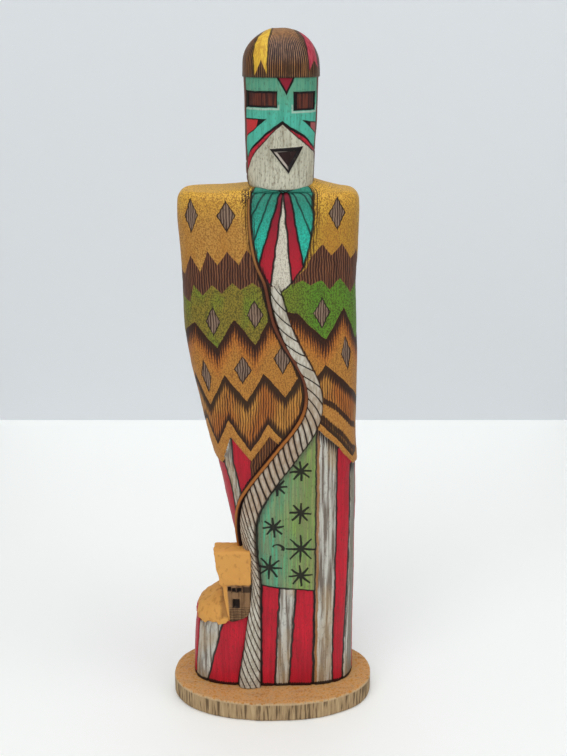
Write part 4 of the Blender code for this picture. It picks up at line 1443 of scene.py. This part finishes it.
def make_head():
    """The head with its eye slots, its raised mouth and the lines burned round each field."""
    grid, outward, pattern = sheet_of(head_rows(), HEAD_COLUMNS, HEAD_SEEN, HEAD_SEEN_COLUMNS)
    round_at, height = pattern[..., 0], pattern[..., 1]
    eyes = most(*[in_slot(box, round_at, height) for box in EYES])
    mouth = in_triangle(MOUTH, round_at, height)
    lift = MOUTH_HEIGHT * covered(mouth, 0.5) - MOUTH_HOLLOW * covered(mouth - 1.1, 0.6)
    lift -= EYE_DEPTH * covered(eyes, 0.4)
    for left, right in ((ARC_LEFT, ARC_RIGHT), (CHEEK_LEFT, CHEEK_RIGHT)):
        lift -= ARC_LINE_DEPTH * covered(0.5 - abs(under_arc(left, right, round_at, height)), 0.5)
    lift += uneven(grid, *HEAD_WAVES)
    lift[:, -1] = lift[:, 0]
    lift[: len(UNDER_CHIN_INSETS)] = 0
    grid += outward * lift[..., None]
    corners = pattern / (PATTERN_ROUND, PATTERN_HIGH) + (0.5, 0)
    return rolled("head", placed_in_metres(grid), corners)


MASK_TURQUOISE = paint(82, 184, 160)
BROW_TURQUOISE = paint(96, 158, 128)
TURQUOISE_FIBRES = paint(60, 140, 118)
MASK_RED = paint(190, 38, 54)
MASK_RED_SPECKS = paint(140, 30, 44)
CHIN_WHITE = paint(206, 204, 184)
CHIN_CLOUDS = paint(156, 152, 130)
CHIN_FIBRES = paint(134, 124, 102)
CHIN_SPECKS = paint(120, 104, 84)
BROW_RED = paint(140, 30, 48)
CORNER_RED = paint(196, 52, 54)
CORNER_ROSE = paint(176, 92, 92)
EYE_BROWN = paint(104, 52, 38)
EYE_FIBRES = paint(58, 30, 28)
EYE_PAINTED_HIGHLIGHT = paint(178, 196, 180)
MOUTH_BROWN = paint(56, 34, 32)
MOUTH_PAINTED_HIGHLIGHT = paint(180, 170, 158)
BACK_WOOD = paint(118, 66, 40)
BACK_FIBRES = paint(84, 46, 32)
HEAD_PORES = paint(70, 60, 52)
BROW_MARK = [(2.2, 282.6), (9.9, 282.6), (6.4, 275.4)]
ARC_TOP_RIGHT = [(11, 267.3), (12.8, 266), (15.5, 263.5), (17.5, 261), (18.2, 259.5)]


def head_finish():
    """The mask: turquoise brow and nose, brown eyes, red and turquoise arcs, a white chin, and painted
    highlights at the eye slots and the mouth.
    """
    finish = Finish("painted mask")
    round_at, height = finish.pattern()
    grain, place = finish.grain, finish.place
    round_at = unsteady(round_at, place, 300, 0.5)
    height = unsteady(height, place, 280, 0.5)
    speckle = mottle(place, 1300, (1, 1, 0.5), 2)
    fibres = grain["Fibres"]
    coat = over(MASK_TURQUOISE, BROW_TURQUOISE, covered(height - 272, 10))
    coat = over(coat, TURQUOISE_FIBRES, past(fibres, 0.55, 8) * 0.55)

    brow = in_triangle(BROW_MARK, round_at, height)
    coat = over(coat, INK, covered(brow, 0.2))
    coat = over(coat, BROW_RED, covered(brow - 0.75, 0.25))

    corner_left = least(height - traced(on_head(ARC_TOP_LEFT), round_at), 266.7 - height)
    coat = over(coat, INK, covered(corner_left, 0.2))
    patch = least(corner_left - 0.5, -6.4 - round_at + (height - 262) * 0.3)
    coat = over(coat, CORNER_RED, covered(patch, 0.3))
    corner_right = least(
        height - traced(on_head(ARC_TOP_RIGHT), round_at),
        266.2 - height + (13 - round_at) * 0.12,
        round_at - 12,
    )
    coat = over(coat, INK, covered(corner_right, 0.2))
    coat = over(coat, CORNER_ROSE, covered(least(corner_right - 0.4, round_at - 17.6), 0.4) * 0.85)

    arc = under_arc(ARC_LEFT, ARC_RIGHT, round_at, height)
    cheek = under_arc(CHEEK_LEFT, CHEEK_RIGHT, round_at, height)
    coat = over(coat, over(MASK_RED, MASK_RED_SPECKS, past(speckle, 0.55, 7)), covered(arc, 0.2))
    coat = over(coat, INK, covered(0.6 - size_of(arc - 0.45), 0.25))
    white = over(CHIN_WHITE, CHIN_CLOUDS, past(grain["Patches"], 0.5, 6) * 0.5)
    white = over(white, CHIN_FIBRES, past(fibres, 0.56, 7) * 0.45)
    white = over(white, CHIN_SPECKS, past(speckle, 0.6, 8) * 0.5)
    coat = over(coat, white, covered(cheek, 0.2))
    coat = over(coat, INK, covered(0.3 - size_of(cheek + 0.1), 0.25) * 0.85)
    at_nose = covered(3 - size_of(round_at - 5), 1)
    coat = over(coat, INK, covered(0.55 - size_of(arc - 0.5), 0.3) * at_nose)

    eyes = most(*[in_slot(box, round_at, height) for box in EYES])
    floors = most(*[in_slot(box, round_at, height) for box in EYE_FLOORS])
    # A pale line along the lower edge of each eye slot: a painted highlight on the cut edge.
    eye_highlight = covered(0.35 - size_of(eyes + 0.5), 0.3) * covered(272 - height, 0.6)
    coat = over(coat, EYE_PAINTED_HIGHLIGHT, eye_highlight * 0.7)
    coat = over(coat, INK, covered(eyes, 0.2))
    coat = over(coat, over(EYE_BROWN, EYE_FIBRES, past(fibres, 0.5, 7)), covered(floors, 0.4))

    mouth = in_triangle(MOUTH, round_at, height)
    coat = over(coat, INK, covered(mouth, 0.25))
    # A pale line inside the mouth's left side: a painted highlight on its bevel.
    mouth_highlight = covered(least(mouth - 0.75, 1.5 - mouth), 0.25) * covered(6.8 - round_at, 1)
    coat = over(coat, MOUTH_PAINTED_HIGHLIGHT, mouth_highlight * covered(254.3 - height, 0.5))
    coat = over(coat, over(MOUTH_BROWN, INK, fibres), covered(mouth - 1.6, 0.3))

    behind = most(-round_at - 13.2, round_at - 22.6)
    coat = over(coat, over(BACK_WOOD, BACK_FIBRES, fibres), covered(behind, 0.3))
    coat = over(coat, INK, covered(0.35 - size_of(behind), 0.3) * 0.9)
    coat = over(coat, INK, covered(height - BROW, 0.4) * 0.8)
    coat = over(coat, HEAD_PORES, grain["Pores"] * 0.35)
    return finish.done(coat, 0.5 + fibres * 0.12, fibres * 0.07 + speckle * 0.05, 0.12)


head = make_head()
head.data.materials.append(head_finish())
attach(head, "root")
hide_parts("figure")

# The cap of hair: a dome carved in one with the head and standing a little over the brow. The hair
# is burned in with close strokes, and a yellow and a red lock are painted on it, each forked at its
# lower end.
CAP_OVERHANG = 0.6
CAP_TOP = 300.0
DOME_FOOT = 284.0
CAP_ROWS = 70
CAP_COLUMNS = 300
CAP_SPREAD = 0.94
CAP_FLATNESS = 0.985
CAP_ROUNDNESS = 2.4
CAP_MIDDLE = 4.2
CAP_WAVES = (7, 0.3, 17)
CAP_GIRTH = 104
HAIR_PITCH = 0.9
YELLOW_RIGHT = [(283, -0.9), (291, -0.6), (296, -0.3), (300, 0.9)]
YELLOW_LEFT = [(283, -6.3), (290, -6.8), (294, -6.1), (297, -4.5), (299.5, -1.8), (300, -0.8)]
RED_LEFT = [(283, 15.1), (288, 14.5), (293, 13.8), (296.5, 12.6), (300, 9.6)]
RED_RIGHT = [(285.5, 18.9), (289.5, 18.3), (293, 17.5), (297, 15.5), (299.5, 12), (300, 11)]
MIDDLE_RIGHT = [(283, 14.6), (290, 14), (295, 12.8), (300, 9.4)]


def make_cap():
    """The dome, from under its overhang over the brow to its closed top."""
    steps = np.arange(CAP_ROWS + 1) / CAP_ROWS
    rise = np.sin(math.pi / 2 * CAP_SPREAD * steps)
    share = np.sqrt(1 - (rise * CAP_FLATNESS) ** CAP_ROUNDNESS)
    heights = DOME_FOOT + (CAP_TOP - DOME_FOOT) * rise / rise[-1]
    rows = [(BROW, grow, 1) for grow in (-1.5, 0, CAP_OVERHANG - 0.15)]
    rows.append((BROW + 0.2, CAP_OVERHANG, 1))
    rows += [(height, CAP_OVERHANG, part) for height, part in zip(heights, share)]
    rows += [(CAP_TOP + 0.03, CAP_OVERHANG, share[-1] * 0.5), (CAP_TOP + 0.05, CAP_OVERHANG, 0.0)]
    grid = []
    for height, grow, part in rows:
        grid.append(ring(head_outline(BROW, grow, part), CAP_COLUMNS, height))
    grid = np.array(grid)
    centre = np.array([CAP_MIDDLE, HEAD_MIDDLE, BROW])
    away = np.maximum(np.linalg.norm(grid - centre, axis=-1), 1e-6)[..., None]
    grid += (grid - centre) / away * uneven(grid, *CAP_WAVES)[..., None]
    grid[:, -1] = grid[:, 0]
    grid[-1] = grid[-1].mean(axis=0)
    turn = np.linspace(-0.5, 0.5, CAP_COLUMNS + 1)
    corners = np.stack(np.broadcast_arrays(turn[None, :] + 0.5, (grid[..., 2] - BROW) / 20), axis=-1)
    return rolled("cap", placed_in_metres(grid), corners)


HAIR_WOOD = paint(160, 98, 50)
HAIR_BLOOM = paint(150, 120, 118)
CROWN_PAINTED_HIGHLIGHT = paint(206, 160, 112)
LOCK_YELLOW = paint(232, 190, 62)
LOCK_YELLOW_FIBRES = paint(190, 138, 50)
LOCK_ROSE = paint(190, 70, 84)
LOCK_ROSE_FIBRES = paint(160, 44, 60)
HAIR_GLINTS = paint(222, 168, 104)
HAIR_SPOTS = [(2, 289.5, 2.6), (8, 285, 3.2)]
YELLOW_NOTCH = (-3.4, 288.5, 0.42)
RED_NOTCH = (17.1, 288.2, 0.5)


def in_notch(notch, x, z):
    """How far inside the notch at a lock's lower end, given by its place, its height and its spread."""
    across, top, spread = notch
    return least((top - z) * spread - size_of(x - across), 1)


def cap_finish():
    """Burned hair strokes that run over the crown, purplish in the middle, with two painted locks, and
    painted highlights on the paler crown and between the strokes.
    """
    finish = Finish("burned hair")
    x, y, z = finish.position()
    grain, place = finish.grain, finish.place
    turned = finish.spread()[0] * CAP_GIRTH
    strokes = placed(hatching, finish.tree, Place=place, Round=turned, Pitch=HAIR_PITCH)["Strokes"]
    x = unsteady(x, place, 260, 0.8)
    # The crown is paler and less burned towards the top of the cap: a painted highlight.
    crown = covered(z - 296.2 + (grain["Patches"] - 0.5) * 8, 5)
    bloom = covered(3.6 - size_of(z - 292), 4) * covered(least(x + 1, 13 - x), 3)
    coat = over(HAIR_WOOD, HAIR_BLOOM, bloom * 0.8)
    coat = over(coat, CROWN_PAINTED_HIGHLIGHT, crown * covered(least(x + 2, 15 - x), 2) * 0.6)
    spots = []
    for across, middle, reach in HAIR_SPOTS:
        aside, above = x - across, z - middle
        spots.append(reach - worked("SQRT", aside * aside + above * above))
    burn = most(0.74 - crown * 0.26, covered(most(*spots), 3) * 0.85)

    front = covered(HEAD_MIDDLE + 4 - y, 3)
    fibres = past(grain["Fibres"], 0.5, 6)
    yellow = least(traced(YELLOW_RIGHT, z) - x, x - traced(YELLOW_LEFT, z))
    notch = in_notch(YELLOW_NOTCH, x, z)
    in_yellow = covered(least(yellow, -notch), 0.25) * front
    coat = over(coat, over(LOCK_YELLOW, LOCK_YELLOW_FIBRES, fibres * 0.7), in_yellow)
    red = least(x - traced(RED_LEFT, z), traced(RED_RIGHT, z) - x)
    fork = in_notch(RED_NOTCH, x, z)
    in_red = covered(least(red, -fork), 0.25) * front
    coat = over(coat, over(LOCK_ROSE, LOCK_ROSE_FIBRES, fibres), in_red)
    off_locks = (1 - in_yellow) * (1 - in_red)
    burn = burn * off_locks
    lines = least(
        size_of(yellow), size_of(red), size_of(x - traced(MIDDLE_RIGHT, z)) - 0.25,
        size_of(x - traced(YELLOW_LEFT, z) + 0.5),
    )
    forks = most(
        covered(notch, 0.3) * covered(yellow + 0.5, 0.3), covered(fork, 0.3) * covered(red + 0.8, 0.3),
    )
    burn = most(burn, covered(0.42 - lines, 0.3) * 0.9 * front, forks * 0.85)
    burn = most(burn, covered(BROW + 0.7 - z, 0.5))
    coat = burned(coat, burn, strokes, 0.7, 0.92)
    coat = over(coat, HAIR_GLINTS, (1 - past(strokes, 0.30, 6)) * 0.25 * off_locks)
    relief = strokes * -0.14 + grain["Fibres"] * 0.04
    return finish.done(coat, 0.42 + grain["Fibres"] * 0.12, relief, 0.2)


cap = make_cap()
cap.data.materials.append(cap_finish())
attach(cap, "root")
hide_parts("figure")

# The table, the wall behind it and the light: a matt white table top, a pale wall, and wide soft
# lamps. The camera stands in front and a little above, and looks down at the doll.
TABLE_SIZE = 6.0
WALL_AT = 0.359
WALL_HALF_WIDTH = 0.24
WALL_HEIGHT = 0.40
TABLE_WHITE = paint(253, 254, 251)
WALL_GREY = paint(222, 226, 229)
ROOM_LIGHT = paint(236, 240, 246)
ROOM_STRENGTH = 0.34
LAMPS = {
    "front_lamp": ((-0.5, -1.1, 1.1), (0, 0, 0.15), 1.4, 8.6),
    "side_lamp": ((1.0, -0.5, 0.9), (0, 0, 0.15), 1.0, 3.5),
    "top_lamp": ((0, -0.1, 1.4), (0, 0.05, 0), 1.2, 8.2),
}
CAMERA_PLACE = (0.0052, -0.4145, 0.2952)
CAMERA_DOWN = 18.5
CAMERA_LENS = 47.95
CAMERA_SENSOR = 36


def plain_sheet(name, corners, colour, roughness):
    """One flat sheet of the studio."""
    sheet = bmesh.new()
    sheet.faces.new([sheet.verts.new(corner) for corner in corners])
    backdrop = piece_from(name, sheet)
    surface = bpy.data.materials.new(name)
    surface.use_nodes = True
    shader = surface.node_tree.nodes["Principled BSDF"]
    shader.inputs["Base Color"].default_value = colour
    shader.inputs["Roughness"].default_value = roughness
    backdrop.data.materials.append(surface)


def soft_lamp(name, place, aim, size, power):
    """A wide lamp that points at a place. Its size is in metres and its power in watts."""
    lamp = bpy.data.lights.new(name, "AREA")
    lamp.shape = "DISK"
    lamp.size = size
    lamp.energy = power
    stand = bpy.data.objects.new(name, lamp)
    stand.location = place
    stand.rotation_euler = (Vector(aim) - Vector(place)).to_track_quat("-Z", "Y").to_euler()
    bpy.context.scene.collection.objects.link(stand)


reach = TABLE_SIZE / 2
table = [(-reach, -reach, 0), (reach, -reach, 0), (reach, reach, 0), (-reach, reach, 0)]
plain_sheet("table", table, TABLE_WHITE, 0.6)
wall_low, wall_high = [
    [(side * WALL_HALF_WIDTH, WALL_AT, height) for side in (-1, 1)] for height in (0, WALL_HEIGHT)
]
plain_sheet("backdrop_wall", wall_low + wall_high[::-1], WALL_GREY, 0.8)
for name, (place, aim, size, power) in LAMPS.items():
    soft_lamp(name, place, aim, size, power)
bpy.context.scene.view_settings.view_transform = "Standard"
world = bpy.data.worlds.new("pale_room")
bpy.context.scene.world = world
world.use_nodes = True
background = world.node_tree.nodes["Background"]
background.inputs["Color"].default_value = ROOM_LIGHT
background.inputs["Strength"].default_value = ROOM_STRENGTH
camera = bpy.data.cameras.new("camera")
camera.lens = CAMERA_LENS
camera.sensor_width = CAMERA_SENSOR
view = bpy.data.objects.new("camera", camera)
view.location = CAMERA_PLACE
view.rotation_euler = (math.radians(90 - CAMERA_DOWN), 0, 0)
bpy.context.scene.collection.objects.link(view)
bpy.context.scene.camera = view
